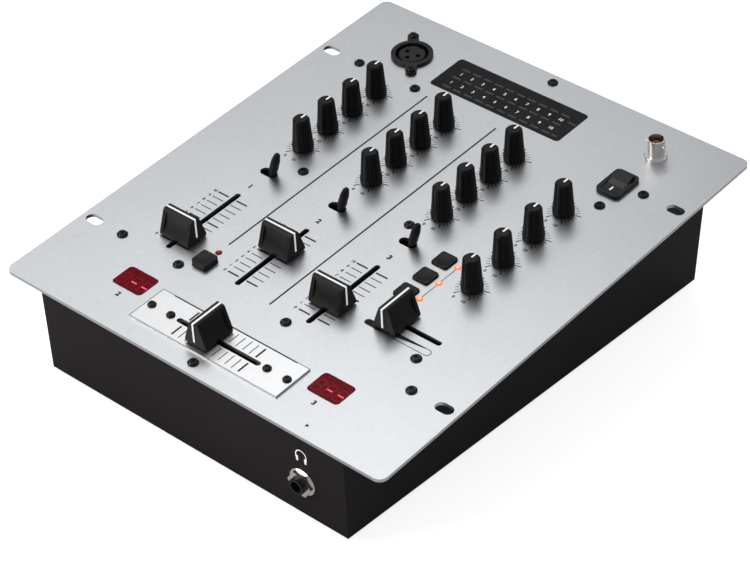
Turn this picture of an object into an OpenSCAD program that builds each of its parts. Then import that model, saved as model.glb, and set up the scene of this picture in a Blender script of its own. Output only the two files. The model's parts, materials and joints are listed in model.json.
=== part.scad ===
// Three-channel table-top DJ mixer with a wedge body and an overhanging faceplate.
// Z is up and the front faces -Y. Controls are placed in panel coordinates: x to the
// right, y towards the rear, z square to the faceplate and zero on its top face.

/* [Faceplate] */
// Width of the faceplate, which overhangs the body left and right
panel_w = 254; // [244:1:300]
// Depth of the faceplate from its front edge to its rear edge
panel_d = 305; // [303:1:330]
// Thickness of the faceplate
panel_t = 2; // [1.5:0.1:3]
// Radius of the faceplate's corners
panel_corner_r = 5; // [1:0.5:12]
// Angle at which the faceplate rises towards the rear
panel_tilt = 6.3; // [3:0.1:10]
// Distance from the centre line to the rack slots
rack_slot_x = 118.6; // [112:0.1:119]
// Length of a rack slot
rack_slot_l = 10.5; // [8:0.1:12]
// Width of a rack slot
rack_slot_w = 6.6; // [5:0.1:8]

/* [Body] */
// Width of the body under the faceplate
body_w = 204; // [203:1:210]
// Height of the front wall, square to the faceplate
front_wall_h = 53; // [46:1:80]
// How far the faceplate stands out past the front and rear walls
body_inset = 1.5; // [0.5:0.1:2.5]
// Thickness of the folded steel sheet
sheet_t = 1.5; // [1:0.1:2]
// Width of the folded flanges that the faceplate is screwed to
flange_w = 9; // [7:0.5:9]
// Height of a rubber foot
foot_h = 4; // [2:0.5:12]
// Radius of a rubber foot at the base
foot_r = 9; // [6:0.5:14]
// Distance from the body's edges to the centre of a foot
foot_inset = 17; // [15:1:40]

/* [Channels] */
// Place of the first channel's column, left of the centre line
first_channel_x = -71.9; // [-74:0.1:-70]
// Distance between two channel columns
channel_pitch = 48.4; // [46:0.1:49]
// Place of the rearmost knob row
first_row_y = 79; // [76:0.1:80]
// Distance between two knob rows
row_pitch = 20.4; // [16:0.1:21]
// Place of the input toggle switches
toggle_y = -9.9; // [-14:0.1:-6]
// Middle of the channel fader slots
fader_y = -60.9; // [-62:0.1:-60]

/* [Right column] */
// Place of the right column of knobs
right_column_x = 73.5; // [70:0.1:76]
// Place of the rearmost knob in the right column
right_first_y = 58.4; // [52:0.1:59]
// Distance between two knobs in the right column
right_pitch = 25.4; // [22:0.1:26]
// Place of the cue buttons
cue_button_x = 49.3; // [48:0.1:50]
// Place of the rearmost cue button
cue_first_y = -10; // [-14:0.1:-6]
// Distance between two cue buttons
cue_pitch = 15.35; // [13:0.05:16]
// Distance from a button's centre to its indicator
cue_led_dx = 8.7; // [8:0.1:10]
// Middle of the cue mix fader slot, to the right
cue_fader_x = 68.4; // [66:0.1:70]
// Place of the cue mix fader slot
cue_fader_y = -60.7; // [-62:0.1:-60]

/* [Knobs] */
// Radius of a knob at its skirt
knob_r = 6; // [5:0.1:7]
// Radius of a knob at its top
knob_top_r = 4.6; // [3.8:0.1:4.9]
// Height of a knob
knob_h = 19.3; // [16:0.1:24]
// Height of the plain skirt under the grip
knob_skirt_h = 3.2; // [2:0.1:5]
// Height of the bevel round the top
knob_bevel = 1; // [0.4:0.1:1.5]
// Number of finger flutes round a knob
flute_count = 16; // [8:1:20]
// Radius of a finger flute
flute_r = 0.55; // [0.3:0.05:0.7]
// Height of a knob above the faceplate
knob_lift = 0.8; // [0.4:0.1:1.5]
// Radius of a control shaft
shaft_r = 3; // [2:0.1:3.2]
// Running clearance of a shaft in its bushing
shaft_gap = 0.05; // [0.02:0.01:0.1]
// Radius of the threaded bushing round a shaft
bushing_r = 3.6; // [3.5:0.1:4.5]

/* [Faders] */
// Travel of the channel faders and the crossfader
fader_travel = 45; // [30:1:46]
// Travel of the cue mix fader
cue_fader_travel = 30; // [20:1:30]
// Width of a fader slot
fader_slot_w = 3.3; // [2.6:0.1:5]
// Length of a fader slot past the travel, both ends together
fader_slot_extra = 11; // [8:0.5:12]
// Length of a fader cap across its travel
cap_l = 20; // [16:0.5:22]
// Width of a fader cap's base along its travel
cap_w = 14; // [11:0.5:14]
// Width of a fader cap's ridge
cap_ridge_w = 5; // [3:0.5:8]
// Height of a fader cap
cap_h = 14.5; // [11:0.5:20]
// Height of the upright skirt round a fader cap's base
cap_skirt_h = 1.6; // [1:0.1:3]
// Depth of the finger scoop in a fader cap's flank
scoop_depth = 0.9; // [0.3:0.1:1.5]
// Thickness of the cheek at each end of a finger scoop
cheek_w = 2.2; // [1:0.1:4]
// Height of a fader cap above the plate under it
cap_lift = 1; // [0.5:0.1:2]
// Thickness of a fader's metal lever
lever_t = 1.2; // [0.8:0.1:1.4]
// Width of a fader's metal lever along its travel
lever_w = 4; // [3:0.1:5]
// Places of the three channel faders at rest, from the middle of their travel
fader_rest = [-15.6, 7.2, -8.6]; // [-20:0.1:20]
// Place of the crossfader at rest, from the middle of its travel
cross_rest = -6.1; // [-20:0.1:20]
// Place of the cue mix fader at rest, from the middle of its travel
cue_rest = -8.4; // [-9:0.1:9]

/* [Crossfader plate] */
// Place of the crossfader
cross_y = -127.2; // [-128:0.1:-126]
// Length of the crossfader's own plate
cross_plate_l = 99.4; // [96:0.2:104]
// Width of the crossfader's own plate
cross_plate_w = 25.4; // [23:0.2:26]
// Thickness of the crossfader's own plate
cross_plate_t = 1; // [0.6:0.1:1.5]
// Distance from the middle to the screws that hold the plate to the faceplate
plate_screw_x = 45.7; // [45:0.1:47]
// Distance from the middle to the screws that hold the fader to its plate
fader_screw_x = 32.6; // [32.2:0.1:34]

/* [Toggle switches] */
// Length of a toggle switch's oval hole
toggle_hole_l = 10.8; // [10.6:0.1:12]
// Width of a toggle switch's oval hole
toggle_hole_w = 6; // [5.9:0.1:7]
// Angle of a toggle lever from upright at each end of its throw
toggle_angle = 17; // [8:0.5:17]
// Height of a toggle lever above the faceplate when it is upright
toggle_h = 17; // [12:0.5:22]
// Depth of a toggle lever's pivot under the faceplate's top face
toggle_pivot_depth = 8; // [7:0.1:8.4]

/* [Buttons] */
// Width of a button
button_w = 10; // [8:0.1:10.6]
// Depth of a button
button_d = 10.5; // [8:0.1:11]
// Radius of a button's corners
button_corner_r = 1.4; // [0.5:0.1:3]
// Height of a raised button above the faceplate
button_up = 3.4; // [3:0.1:5]
// Travel of a button
button_travel = 2.2; // [1:0.1:2.4]
// Clearance round a button in its hole
button_gap = 0.3; // [0.2:0.05:0.6]
// Place of the talk button and its indicator, left of the centre line
talk_x = -47.7; // [-48.5:0.1:-47]
// Place of the talk button
talk_y = -85.9; // [-88:0.1:-84]
// Distance from the talk button to its indicator
talk_led_dy = 10.3; // [9:0.1:12]
// Radius of an indicator lens
led_r = 1.5; // [1:0.1:1.8]

/* [Meter and displays] */
// Middle of the level meter window
meter_x = -10.3; // [-11:0.1:-9]
// Middle of the level meter window, towards the rear
meter_y = 118.9; // [118:0.1:119.5]
// Length of the level meter window
meter_l = 89.7; // [86:0.1:90]
// Width of the level meter window
meter_w = 29.1; // [28:0.1:30]
// Radius of the window corners
window_corner_r = 2.5; // [0.5:0.1:4]
// Depth of a window's face under the faceplate's top face
window_recess = 0.4; // [0.1:0.1:0.8]
// Width of the rim that a window has under the faceplate
window_rim = 1.5; // [0.5:0.1:1.6]
// Number of light bars in a row of the meter
bar_count = 10; // [4:1:10]
// Distance between two light bars
bar_pitch = 7.7; // [6:0.1:7.8]
// Length of a light bar
bar_l = 5.5; // [4:0.1:5.8]
// Width of a light bar
bar_w = 1.5; // [1:0.1:2]
// Distance from the middle line to the tempo displays
display_x = 66.3; // [65:0.1:68]
// Place of the tempo displays
display_y = -118.1; // [-120:0.1:-116]
// Length of a tempo display's window
display_l = 20.5; // [16:0.1:21]
// Width of a tempo display's window
display_w = 15.5; // [12:0.1:16]

/* [Sockets and power switch] */
// Middle of the microphone socket
mic_x = -79.1; // [-80:0.1:-78.5]
// Middle of the microphone socket, towards the rear
mic_y = 118.9; // [117:0.1:120]
// Radius of the microphone socket's flange
mic_flange_r = 12; // [11.8:0.1:12.5]
// Inner radius of the microphone socket's shell
mic_bore_r = 9.4; // [9.2:0.1:9.8]
// Depth of the microphone socket
mic_depth = 17; // [12:0.5:22]
// Distance of the microphone socket's screws from its middle, across
mic_screw_dx = 9.9; // [9.8:0.1:10]
// Distance of the microphone socket's screws from its middle, along
mic_screw_dy = 13.1; // [12.8:0.1:13.4]
// Middle of the lamp socket
lamp_x = 84.1; // [83:0.1:84.4]
// Middle of the lamp socket, towards the rear
lamp_y = 125.6; // [122:0.1:127]
// Outer radius of the lamp socket's barrel
lamp_r = 4.8; // [4.4:0.1:5]
// Height of the lamp socket above the faceplate
lamp_h = 12.4; // [11:0.1:16]
// Radius of the lamp socket's base ring
lamp_base_r = 6.3; // [6:0.1:6.6]
// Middle of the power switch
rocker_x = 82.7; // [80:0.1:83.5]
// Middle of the power switch, towards the rear
rocker_y = 93.4; // [92:0.1:97]
// Width of the power switch's bezel
bezel_w = 15; // [14.6:0.1:16]
// Length of the power switch's bezel
bezel_l = 21.5; // [21.3:0.1:23]
// Height of the power switch's bezel
bezel_h = 2.2; // [1.5:0.1:3]
// Angle of the rocker from level at each end of its throw
rocker_angle = 10; // [5:0.5:12]
// Place of the headphone jack on the front wall
jack_x = 74.4; // [-80:0.1:80]
// Distance of the headphone jack under the faceplate's top face
jack_z = -32.5; // [-36:0.1:-30]
// Radius of the headphone jack's bore
jack_bore_r = 3.2; // [3.2:0.05:3.3]
// Radius of the headphone jack's threaded neck
jack_neck_r = 4.7; // [4.4:0.1:5]
// How far the headphone jack's neck stands out of the front wall
jack_out = 5.3; // [4:0.1:8]

/* [Rear panel] */
// Number of phono socket pairs across the rear panel
pair_count = 8; // [2:1:8]
// Distance between two pairs of phono sockets
pair_pitch = 16; // [13:0.5:17]
// Place of the first pair of phono sockets
first_pair_x = -88; // [-90:1:-86]
// Height of the lower phono sockets above the base sheet
phono_z = 22; // [16:0.5:30]
// Distance between the upper and the lower socket of a pair
phono_drop = 18; // [14:0.5:22]
// Outer radius of a phono socket's barrel
phono_r = 4.15; // [3.9:0.05:4.3]
// Length of a phono socket's barrel behind the rear panel
phono_l = 9; // [8:0.5:12]
// Middle of the mains inlet
inlet_x = 72; // [66:1:78]
// Height of the mains inlet's middle above the base sheet
inlet_z = 36; // [30:1:44]
// Distance from the first ground post to the second
ground_pitch = 26; // [16:1:40]
// Radius of a ground post's thumb nut
ground_r = 4; // [3:0.1:5]

/* [Inside] */
// Clear height between the faceplate and the control board
board_gap = 12; // [11.5:0.5:14]
// Thickness of a circuit board
board_t = 1.6; // [1:0.1:2]
// Width of a hexagonal standoff across its flats
standoff_w = 6; // [5:0.1:6.5]
// Radius of the faceplate screws' shanks
screw_r = 1.5; // [1.2:0.1:1.6]
// Radius of the faceplate screws' heads
screw_head_r = 3; // [2.8:0.1:3.2]
// Radius of the small screws' heads
small_head_r = 2.4; // [2.2:0.1:2.4]
// Height of a screw's head
screw_head_h = 1.5; // [1:0.1:2]

/* [Hidden] */

$fn = 48;
round_fn = 64;
cut = 1;                        // how far a cutter runs past what it cuts
seat_gap = 0.15;                // loose fit of a piece that drops into a cut-out
thread_gap = 0.05;              // gap between a screw or a shaft and the part it holds
move_gap = 0.3;                 // gap beside a piece that slides or tips

channels = [0, 1, 2];
rows = [0, 1, 2, 3];
sides = [-1, 1];

// The body, as a side view in the Y-Z plane
wall_y = panel_d / 2 - body_inset;
rack_slot_y = 95.3;
panel_mid_z = foot_h + wall_y * sin(panel_tilt) + (panel_t + front_wall_h) * cos(panel_tilt);
rear_edge_y = wall_y * cos(panel_tilt) + panel_t * sin(panel_tilt);
jack_tip_y = (wall_y + jack_out) * cos(panel_tilt) + (jack_z + jack_neck_r) * sin(panel_tilt);
front_reach = max(panel_d / 2 * cos(panel_tilt), jack_tip_y);
rear_reach = rear_edge_y + phono_l;
mid_y = (rear_reach - front_reach) / 2;
rear_y = rear_edge_y - mid_y;
base_z = foot_h;
floor_z = base_z + sheet_t;
board_z = -panel_t - board_gap;
board_bottom_z = board_z - board_t;

function channel_x(i) = first_channel_x + i * channel_pitch;
function row_y(i) = first_row_y - i * row_pitch;
function right_y(i) = right_first_y - i * right_pitch;
function cue_y(i) = cue_first_y - i * cue_pitch;
// A point of the panel's side view, moved into the part's Y-Z plane
function side_point(y, z) = [
    y * cos(panel_tilt) - z * sin(panel_tilt) - mid_y,
    y * sin(panel_tilt) + z * cos(panel_tilt) + panel_mid_z,
];
// Height of a layer under the faceplate, at a place y of the part
function layer_z(y, depth) = (y + mid_y) * tan(panel_tilt) - depth / cos(panel_tilt) + panel_mid_z;

knob_places = [
    for (i = channels) for (r = rows) [channel_x(i), row_y(r)],
    for (r = rows) [right_column_x, right_y(r)],
];
corner_screws = [for (x = sides) for (y = sides) [x * (body_w / 2 - 4), y * rack_slot_y]];
edge_screws = [[0, -(wall_y - 5.4)], [0, wall_y - 5.4]];
standoff_places = [
    [-57.7, 95.4], [-57.7, 1.8], [-57.7, -95.3], [16.3, 1.6], [16.3, -95.2], [85.2, 74.2], [85.2, -76.2],
];
cross_screws = [for (x = [plate_screw_x, fader_screw_x]) for (s = sides) [s * x, cross_y]];
mic_screws = [for (s = sides) [mic_x - s * mic_screw_dx, mic_y + s * mic_screw_dy]];
led_places = [
    [talk_x, talk_y + talk_led_dy],
    for (i = channels) [cue_button_x + cue_led_dx, cue_y(i)],
];
pilot_r = screw_r + thread_gap;
bushing_hole_r = bushing_r + seat_gap;
button_places = [[talk_x, talk_y], for (i = channels) [cue_button_x, cue_y(i)]];
phono_places = [
    for (i = [0 : pair_count - 1]) for (row = [0, 1]) [first_pair_x + i * pair_pitch, floor_z + phono_z + row * phono_drop],
];
inlet_w = 31;
inlet_h = 24;
inlet_wall = 1.8;
inlet_flange_t = 2;
inlet_body_w = 28;
inlet_body_h = 21;
inlet_depth = 17;
ground_x = inlet_x - ground_pitch / 2;
ground_z = floor_z + 62;
ground_l = 8;

// ---- Helpers -------------------------------------------------------------------------

// Places its children in panel coordinates
module on_panel(place = [0, 0], z = 0) {
    translate([0, -mid_y, panel_mid_z])
        rotate([panel_tilt, 0, 0])
            translate([place[0], place[1], z])
                children();
}

// Places its children on the rear panel's outer face, with Z pointing out of it
module on_rear(place) {
    translate([place[0], rear_y, place[1]])
        rotate([-90, 0, 0])
            children();
}

// Places its children on the front wall's outer face, with Z pointing out of it
module on_front(x, z) {
    on_panel([x, -wall_y], z)
        rotate([90, 0, 0])
            children();
}

// Draws a side view (y, z) across a width
module across(width) {
    rotate([90, 0, 90])
        linear_extrude(width, center = true)
            children();
}

module rounded_rect(w, d, r) {
    square([w - 2 * r, d], center = true);
    square([w, d - 2 * r], center = true);
    for (x = sides) for (y = sides)
        translate([x * (w / 2 - r), y * (d / 2 - r)])
            circle(r);
}

// A slot along x with round ends
module slot_shape(l, w) {
    square([l - w, w], center = true);
    for (s = sides)
        translate([s * (l - w) / 2, 0])
            circle(w / 2);
}

module block(size, z) {
    translate([0, 0, z + size[2] / 2])
        cube(size, center = true);
}

module hexagon(flat_w) {
    circle(flat_w / 2 / cos(30), $fn = 6);
}

module ring_profile(inner_r, outer_r, z0, z1) {
    translate([inner_r, z0])
        square([outer_r - inner_r, z1 - z0]);
}

// ---- Casing --------------------------------------------------------------------------

module faceplate_cuts() {
    for (x = sides) for (y = sides)
        translate([x * rack_slot_x, y * rack_slot_y])
            slot_shape(rack_slot_l, rack_slot_w);
    for (p = concat(corner_screws, edge_screws, standoff_places, mic_screws))
        translate(p)
            circle(pilot_r + seat_gap);
    for (s = sides)
        translate([s * plate_screw_x, cross_y])
            circle(pilot_r);
    for (p = knob_places)
        translate(p)
            circle(bushing_hole_r);
    for (i = channels) {
        translate([channel_x(i), fader_y])
            rotate(90)
                slot_shape(fader_travel + fader_slot_extra, fader_slot_w);
        translate([channel_x(i), toggle_y])
            slot_shape(toggle_hole_l, toggle_hole_w);
    }
    translate([cue_fader_x, cue_fader_y])
        slot_shape(cue_fader_travel + fader_slot_extra - 1, fader_slot_w);
    translate([0, cross_y])
        square([cross_body_l + 2 * seat_gap, cross_body_w + 2 * seat_gap], center = true);
    for (p = button_places)
        translate(p)
            rounded_rect(button_w + 2 * button_gap, button_d + 2 * button_gap, button_corner_r + button_gap);
    for (p = led_places)
        translate(p)
            circle(led_r + seat_gap);
    translate([meter_x, meter_y])
        rounded_rect(meter_l, meter_w, window_corner_r);
    for (s = sides)
        translate([s * display_x, display_y])
            rounded_rect(display_l, display_w, window_corner_r);
    translate([mic_x, mic_y])
        circle(mic_bore_r + mic_wall + seat_gap);
    translate([lamp_x, lamp_y])
        circle(lamp_r + seat_gap);
    translate([rocker_x, rocker_y])
        square([switch_w + 2 * seat_gap, switch_l + 2 * seat_gap], center = true);
}

module faceplate() {
    color("silver")
        on_panel(z = -panel_t)
            linear_extrude(panel_t)
                difference() {
                    rounded_rect(panel_w, panel_d, panel_corner_r);
                    faceplate_cuts();
                }
}

// Side view of the body's outside, between the base and the faceplate
module body_profile() {
    polygon([
        side_point(-wall_y, -panel_t),
        side_point(-wall_y, -panel_t - front_wall_h),
        [rear_y, base_z],
        side_point(wall_y, -panel_t),
    ]);
}

// Side view of the space under the flanges, open to the rear
module cavity_profile() {
    inner_y = -wall_y + sheet_t;
    inner_z = (floor_z - panel_mid_z - inner_y * sin(panel_tilt)) / cos(panel_tilt);
    polygon([
        side_point(inner_y, -panel_t - sheet_t),
        side_point(inner_y, inner_z),
        [rear_y + cut, floor_z],
        [rear_y + cut, layer_z(rear_y + cut, panel_t + sheet_t)],
    ]);
}

// Side view of the opening between the flanges
module mouth_profile() {
    lip_y = -wall_y + sheet_t + flange_w;
    polygon([
        side_point(lip_y, cut),
        side_point(lip_y, -panel_t - sheet_t - cut),
        side_point(wall_y + 2 * cut, -panel_t - sheet_t - cut),
        side_point(wall_y + 2 * cut, cut),
    ]);
}

// Side view of the gap at the rear that the rear panel drops into
module rear_gap_profile() {
    translate([rear_y - sheet_t - seat_gap, floor_z])
        square([sheet_t + seat_gap + cut, 2 * panel_mid_z]);
}

module chassis() {
    inner_w = body_w - 2 * sheet_t;
    color("dimgray")
        difference() {
            across(body_w)
                body_profile();
            across(inner_w)
                cavity_profile();
            across(inner_w - 2 * flange_w)
                mouth_profile();
            across(inner_w)
                rear_gap_profile();
            for (p = concat(corner_screws, [edge_screws[0]]))
                on_panel(p, -panel_t - sheet_t - cut)
                    cylinder(r = pilot_r, h = sheet_t + 2 * cut);
            on_front(jack_x, jack_z)
                translate([0, 0, -sheet_t - cut])
                    cylinder(r = jack_neck_r + seat_gap, h = sheet_t + 2 * cut);
        }
}

// Side view of the rear panel: an upright sheet with a lip under the faceplate
module rear_profile() {
    inner_y = rear_y - sheet_t;
    lip_y = rear_y - sheet_t - flange_w - 2;
    polygon([
        [inner_y, floor_z],
        [rear_y, floor_z],
        [rear_y, layer_z(rear_y, panel_t)],
        [lip_y, layer_z(lip_y, panel_t)],
        [lip_y, layer_z(lip_y, panel_t + sheet_t)],
        [inner_y, layer_z(inner_y, panel_t + sheet_t)],
    ]);
}

module rear_panel() {
    lip_clear_x = body_w / 2 - sheet_t - flange_w - seat_gap;
    color("dimgray")
        difference() {
            across(body_w - 2 * sheet_t - 2 * seat_gap)
                rear_profile();
            for (s = sides)
                translate([s * (lip_clear_x + flange_w), rear_y - sheet_t - flange_w, panel_mid_z])
                    block([2 * flange_w, 2 * flange_w, 2 * panel_mid_z], -panel_mid_z);
            for (p = phono_places)
                on_rear(p)
                    translate([0, 0, -sheet_t - cut])
                        cylinder(r = phono_r + seat_gap, h = sheet_t + 2 * cut);
            for (s = [0, 1])
                on_rear([ground_x + s * ground_pitch, ground_z])
                    translate([0, 0, -sheet_t - cut])
                        cylinder(r = screw_r + thread_gap, h = sheet_t + 2 * cut);
            on_rear([inlet_x, floor_z + inlet_z])
                block([inlet_body_w + 2 * seat_gap, inlet_body_h + 2 * seat_gap, sheet_t + 2 * cut], -sheet_t - cut);
            on_panel(edge_screws[1], -panel_t - sheet_t - cut)
                cylinder(r = pilot_r, h = sheet_t + 2 * cut);
        }
}

module rubber_feet() {
    front_y = side_point(-wall_y, -panel_t - front_wall_h)[0] + foot_inset;
    color("black")
        for (x = sides) for (y = [front_y, rear_y - foot_inset])
            translate([x * (body_w / 2 - foot_inset), y, 0])
                rotate_extrude($fn = round_fn)
                    polygon([[0, 0], [foot_r - 1.5, 0], [foot_r - 1, 0.6], [foot_r, foot_h], [0, foot_h]]);
}

// A pan-head screw whose head rests at z = 0
module screw(head_r, shank_l) {
    slot_w = head_r / 4;
    slot_depth = screw_head_h * 0.5;
    difference() {
        rotate_extrude($fn = round_fn)
            polygon([
                [0, -shank_l], [screw_r, -shank_l], [screw_r, 0], [head_r, 0],
                [head_r, screw_head_h * 0.4], [head_r * 0.7, screw_head_h], [0, screw_head_h],
            ]);
        for (turn = [0, 90])
            rotate(turn)
                block([head_r * 1.2, slot_w, slot_depth + cut], screw_head_h - slot_depth);
    }
}

module faceplate_screws() {
    color("black")
        for (p = concat(corner_screws, edge_screws, standoff_places))
            on_panel(p)
                screw(screw_head_r, panel_t + 5);
}

module small_screws() {
    color("black") {
        for (p = cross_screws)
            on_panel(p, cross_plate_t)
                screw(small_head_r, cross_plate_t + panel_t + 1);
        for (p = mic_screws)
            on_panel(p, mic_flange_t)
                screw(small_head_r, mic_flange_t + panel_t + 1);
    }
}

// ---- Level meter and tempo displays --------------------------------------------------

// A window with a rim that bears on the underside of the faceplate
module window(l, w) {
    linear_extrude(panel_t - window_recess)
        rounded_rect(l - 2 * seat_gap, w - 2 * seat_gap, window_corner_r);
    translate([0, 0, -window_rim_t])
        linear_extrude(window_rim_t)
            rounded_rect(l + 2 * window_rim, w + 2 * window_rim, window_corner_r);
}

window_rim_t = 1;
window_under_z = -panel_t - window_rim_t;
bar_rows = [7.3, -1.3, -10.7];
first_bar_x = -35.5;
status_bars = [[41, 3.4, 5.5], [39.5, -10.6, 3.5]];
digit_dx = 4;
digit_w = 7;
digit_h = 10;
digit_t = 0.8;
segment_w = 1.2;

module meter_window() {
    color("black")
        on_panel([meter_x, meter_y], -panel_t)
            window(meter_l, meter_w);
}

module meter_leds() {
    bar_h = board_gap - window_rim_t;
    color("gray")
        on_panel([meter_x, meter_y], board_z) {
            for (y = bar_rows) for (i = [0 : bar_count - 1])
                translate([first_bar_x + i * bar_pitch, y, 0])
                    block([bar_l, bar_w, bar_h], 0);
            for (b = status_bars)
                translate([b[0], b[1], 0])
                    block([b[2], bar_w, bar_h], 0);
        }
}

module display_windows() {
    color("darkred")
        for (s = sides)
            on_panel([s * display_x, display_y], -panel_t)
                window(display_l, display_w);
}

// Two figure-of-eight digits on a block that stands on the control board
module display_modules() {
    module_h = board_gap - window_rim_t - digit_t;
    color("maroon")
        for (s = sides)
            on_panel([s * display_x, display_y], board_z) {
                block([display_l - 2, display_w - 2, module_h], 0);
                for (d = sides)
                    translate([d * digit_dx, 0, module_h])
                        linear_extrude(digit_t)
                            difference() {
                                square([digit_w, digit_h], center = true);
                                for (y = sides)
                                    translate([0, y * (digit_h - segment_w) / 4])
                                        square([digit_w - 2 * segment_w, (digit_h - 3 * segment_w) / 2], center = true);
                            }
            }
}

// ---- Sockets and power switch --------------------------------------------------------

mic_wall = 1.6;
mic_flange_t = 2;
mic_base_t = 2;
mic_ear_r = 3.2;
mic_insert_r = 8;
mic_pin_r = 1.3;
mic_pin_depth = 8;
mic_key_w = 3;
mic_pins = [[-3.8, 0.5], [3.8, 0.5], [0, -4.2]];

module mic_socket_shell() {
    color("black")
        on_panel([mic_x, mic_y]) {
            linear_extrude(mic_flange_t)
                difference() {
                    union() {
                        circle(mic_flange_r);
                        for (s = sides) {
                            translate([-s * mic_screw_dx, s * mic_screw_dy])
                                circle(mic_ear_r);
                            rotate(atan2(s * mic_screw_dy, -s * mic_screw_dx))
                                translate([norm([mic_screw_dx, mic_screw_dy]) / 2, 0])
                                    square([norm([mic_screw_dx, mic_screw_dy]), 2 * mic_ear_r], center = true);
                        }
                    }
                    circle(mic_bore_r);
                    for (s = sides)
                        translate([-s * mic_screw_dx, s * mic_screw_dy])
                            circle(pilot_r);
                }
            rotate_extrude($fn = round_fn)
                ring_profile(mic_bore_r, mic_bore_r + mic_wall, -mic_depth, cut * 0.5);
        }
}

module mic_socket_insert() {
    color("black")
        on_panel([mic_x, mic_y])
            difference() {
                rotate_extrude($fn = round_fn)
                    polygon([
                        [0, -mic_depth], [mic_bore_r - thread_gap, -mic_depth],
                        [mic_bore_r - thread_gap, -mic_depth + mic_base_t], [mic_insert_r, -mic_depth + mic_base_t],
                        [mic_insert_r, 0.6], [mic_insert_r - 0.6, 1.2], [0, 1.2],
                    ]);
                for (p = mic_pins)
                    translate([p[0], p[1], 1.2 - mic_pin_depth])
                        cylinder(r = mic_pin_r, h = mic_pin_depth + cut);
                translate([0, mic_insert_r, 0])
                    block([mic_key_w, 2.4, mic_depth], -mic_depth / 2);
            }
}

lamp_wall = 0.7;
lamp_ring_t = 2;
lamp_tail_l = 9;
lamp_floor = 2;
lamp_stud_r = 1;
lamp_stud_out = 0.9;
lamp_stud_drop = 3.6;
lamp_nut_w = 13;
lamp_nut_t = 2.4;

// Bayonet barrel with a base ring above the faceplate and a hexagonal nut under it
module lamp_socket_shell() {
    color("gainsboro")
        on_panel([lamp_x, lamp_y]) {
            difference() {
                union() {
                    rotate_extrude($fn = round_fn)
                        polygon([
                            [0, -lamp_tail_l], [lamp_r - 0.1, -lamp_tail_l], [lamp_r - 0.1, 0], [lamp_base_r, 0],
                            [lamp_base_r, lamp_ring_t - 0.5], [lamp_base_r - 0.5, lamp_ring_t],
                            [lamp_r, lamp_ring_t], [lamp_r, lamp_h], [0, lamp_h],
                        ]);
                    translate([0, 0, lamp_h - lamp_stud_drop])
                        rotate([0, 90, 0])
                            cylinder(r = lamp_stud_r, h = 2 * (lamp_r + lamp_stud_out), center = true);
                }
                translate([0, 0, lamp_floor])
                    cylinder(r = lamp_r - lamp_wall, h = lamp_h);
            }
            translate([0, 0, -panel_t - lamp_nut_t])
                linear_extrude(lamp_nut_t)
                    difference() {
                        rotate(30)
                            hexagon(lamp_nut_w);
                        circle(lamp_r - 0.1 + thread_gap);
                    }
        }
}

module lamp_socket_core() {
    core_r = 2.4;
    core_h = lamp_h - lamp_floor - 3;
    color("tan")
        on_panel([lamp_x, lamp_y], lamp_floor)
            rotate_extrude($fn = round_fn)
                polygon([
                    [0.7, 0], [lamp_r - lamp_wall - thread_gap, 0], [lamp_r - lamp_wall - thread_gap, 2],
                    [core_r, 2], [core_r, core_h], [0.7, core_h],
                ]);
}

switch_w = 12.8;
switch_l = 19.2;
switch_depth = 17;
bezel_corner_r = 3;
rocker_wall = 1;
rocker_pivot_z = 0.6;
rocker_tip_r = (switch_l - 2 * rocker_wall) / 2 - move_gap;
rocker_tip_z = 3;
rocker_dip = 1.4;
rocker_w = switch_w - 2 * rocker_wall - 2 * move_gap;

module power_switch_frame() {
    color("black")
        on_panel([rocker_x, rocker_y])
            difference() {
                union() {
                    linear_extrude(bezel_h)
                        rounded_rect(bezel_w, bezel_l, bezel_corner_r);
                    block([switch_w, switch_l, switch_depth], -switch_depth);
                }
                block([switch_w - 2 * rocker_wall, switch_l - 2 * rocker_wall, switch_depth], 3 - switch_depth);
            }
}

// The rocker tips about its pivot, with its ends round so that they clear the bezel
module power_rocker() {
    color("black")
        on_panel([rocker_x, rocker_y], rocker_pivot_z)
            rotate([rocker_angle, 0, 0])
                across(rocker_w)
                    intersection() {
                        circle(rocker_tip_r, $fn = 96);
                        polygon([
                            [-rocker_tip_r, rocker_tip_z], [-2, rocker_dip], [2, rocker_dip],
                            [rocker_tip_r, rocker_tip_z], [rocker_tip_r, -3], [3, -6], [-3, -6], [-rocker_tip_r, -3],
                        ]);
                    }
}

washer_r = 8;
washer_t = 0.5;
jack_nut_w = 13;
jack_nut_t = 2.4;
jack_body_l = 26;
jack_body_w = 14;
jack_body_h = 12;
jack_bore_l = 24;

module headphone_jack() {
    color("black")
        on_front(jack_x, jack_z)
            difference() {
                union() {
                    translate([0, 0, -sheet_t])
                        cylinder(r = jack_neck_r, h = sheet_t + jack_out);
                    block([jack_body_w, jack_body_h, jack_body_l], -sheet_t - jack_body_l);
                }
                translate([0, 0, jack_out - jack_bore_l])
                    cylinder(r = jack_bore_r, h = jack_bore_l + cut);
            }
}

module headphone_nut() {
    color("gainsboro")
        on_front(jack_x, jack_z) {
            rotate_extrude($fn = round_fn)
                ring_profile(jack_neck_r + thread_gap, washer_r, 0, washer_t);
            translate([0, 0, washer_t + thread_gap])
                linear_extrude(jack_nut_t)
                    difference() {
                        hexagon(jack_nut_w);
                        circle(jack_neck_r + thread_gap, $fn = round_fn);
                    }
        }
}

// ---- Controls under the faceplate ----------------------------------------------------

track_w = 9;
track_h = 7;
track_wall = 1.5;
track_end = 7.5;
carriage_h = 2.6;
carriage_l = 6;
carriage_w = track_w - 2 * track_wall - 2 * move_gap;
cross_body_w = 12;
cross_body_l = 2 * (fader_screw_x + 3.6);
cross_body_h = 9;

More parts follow.
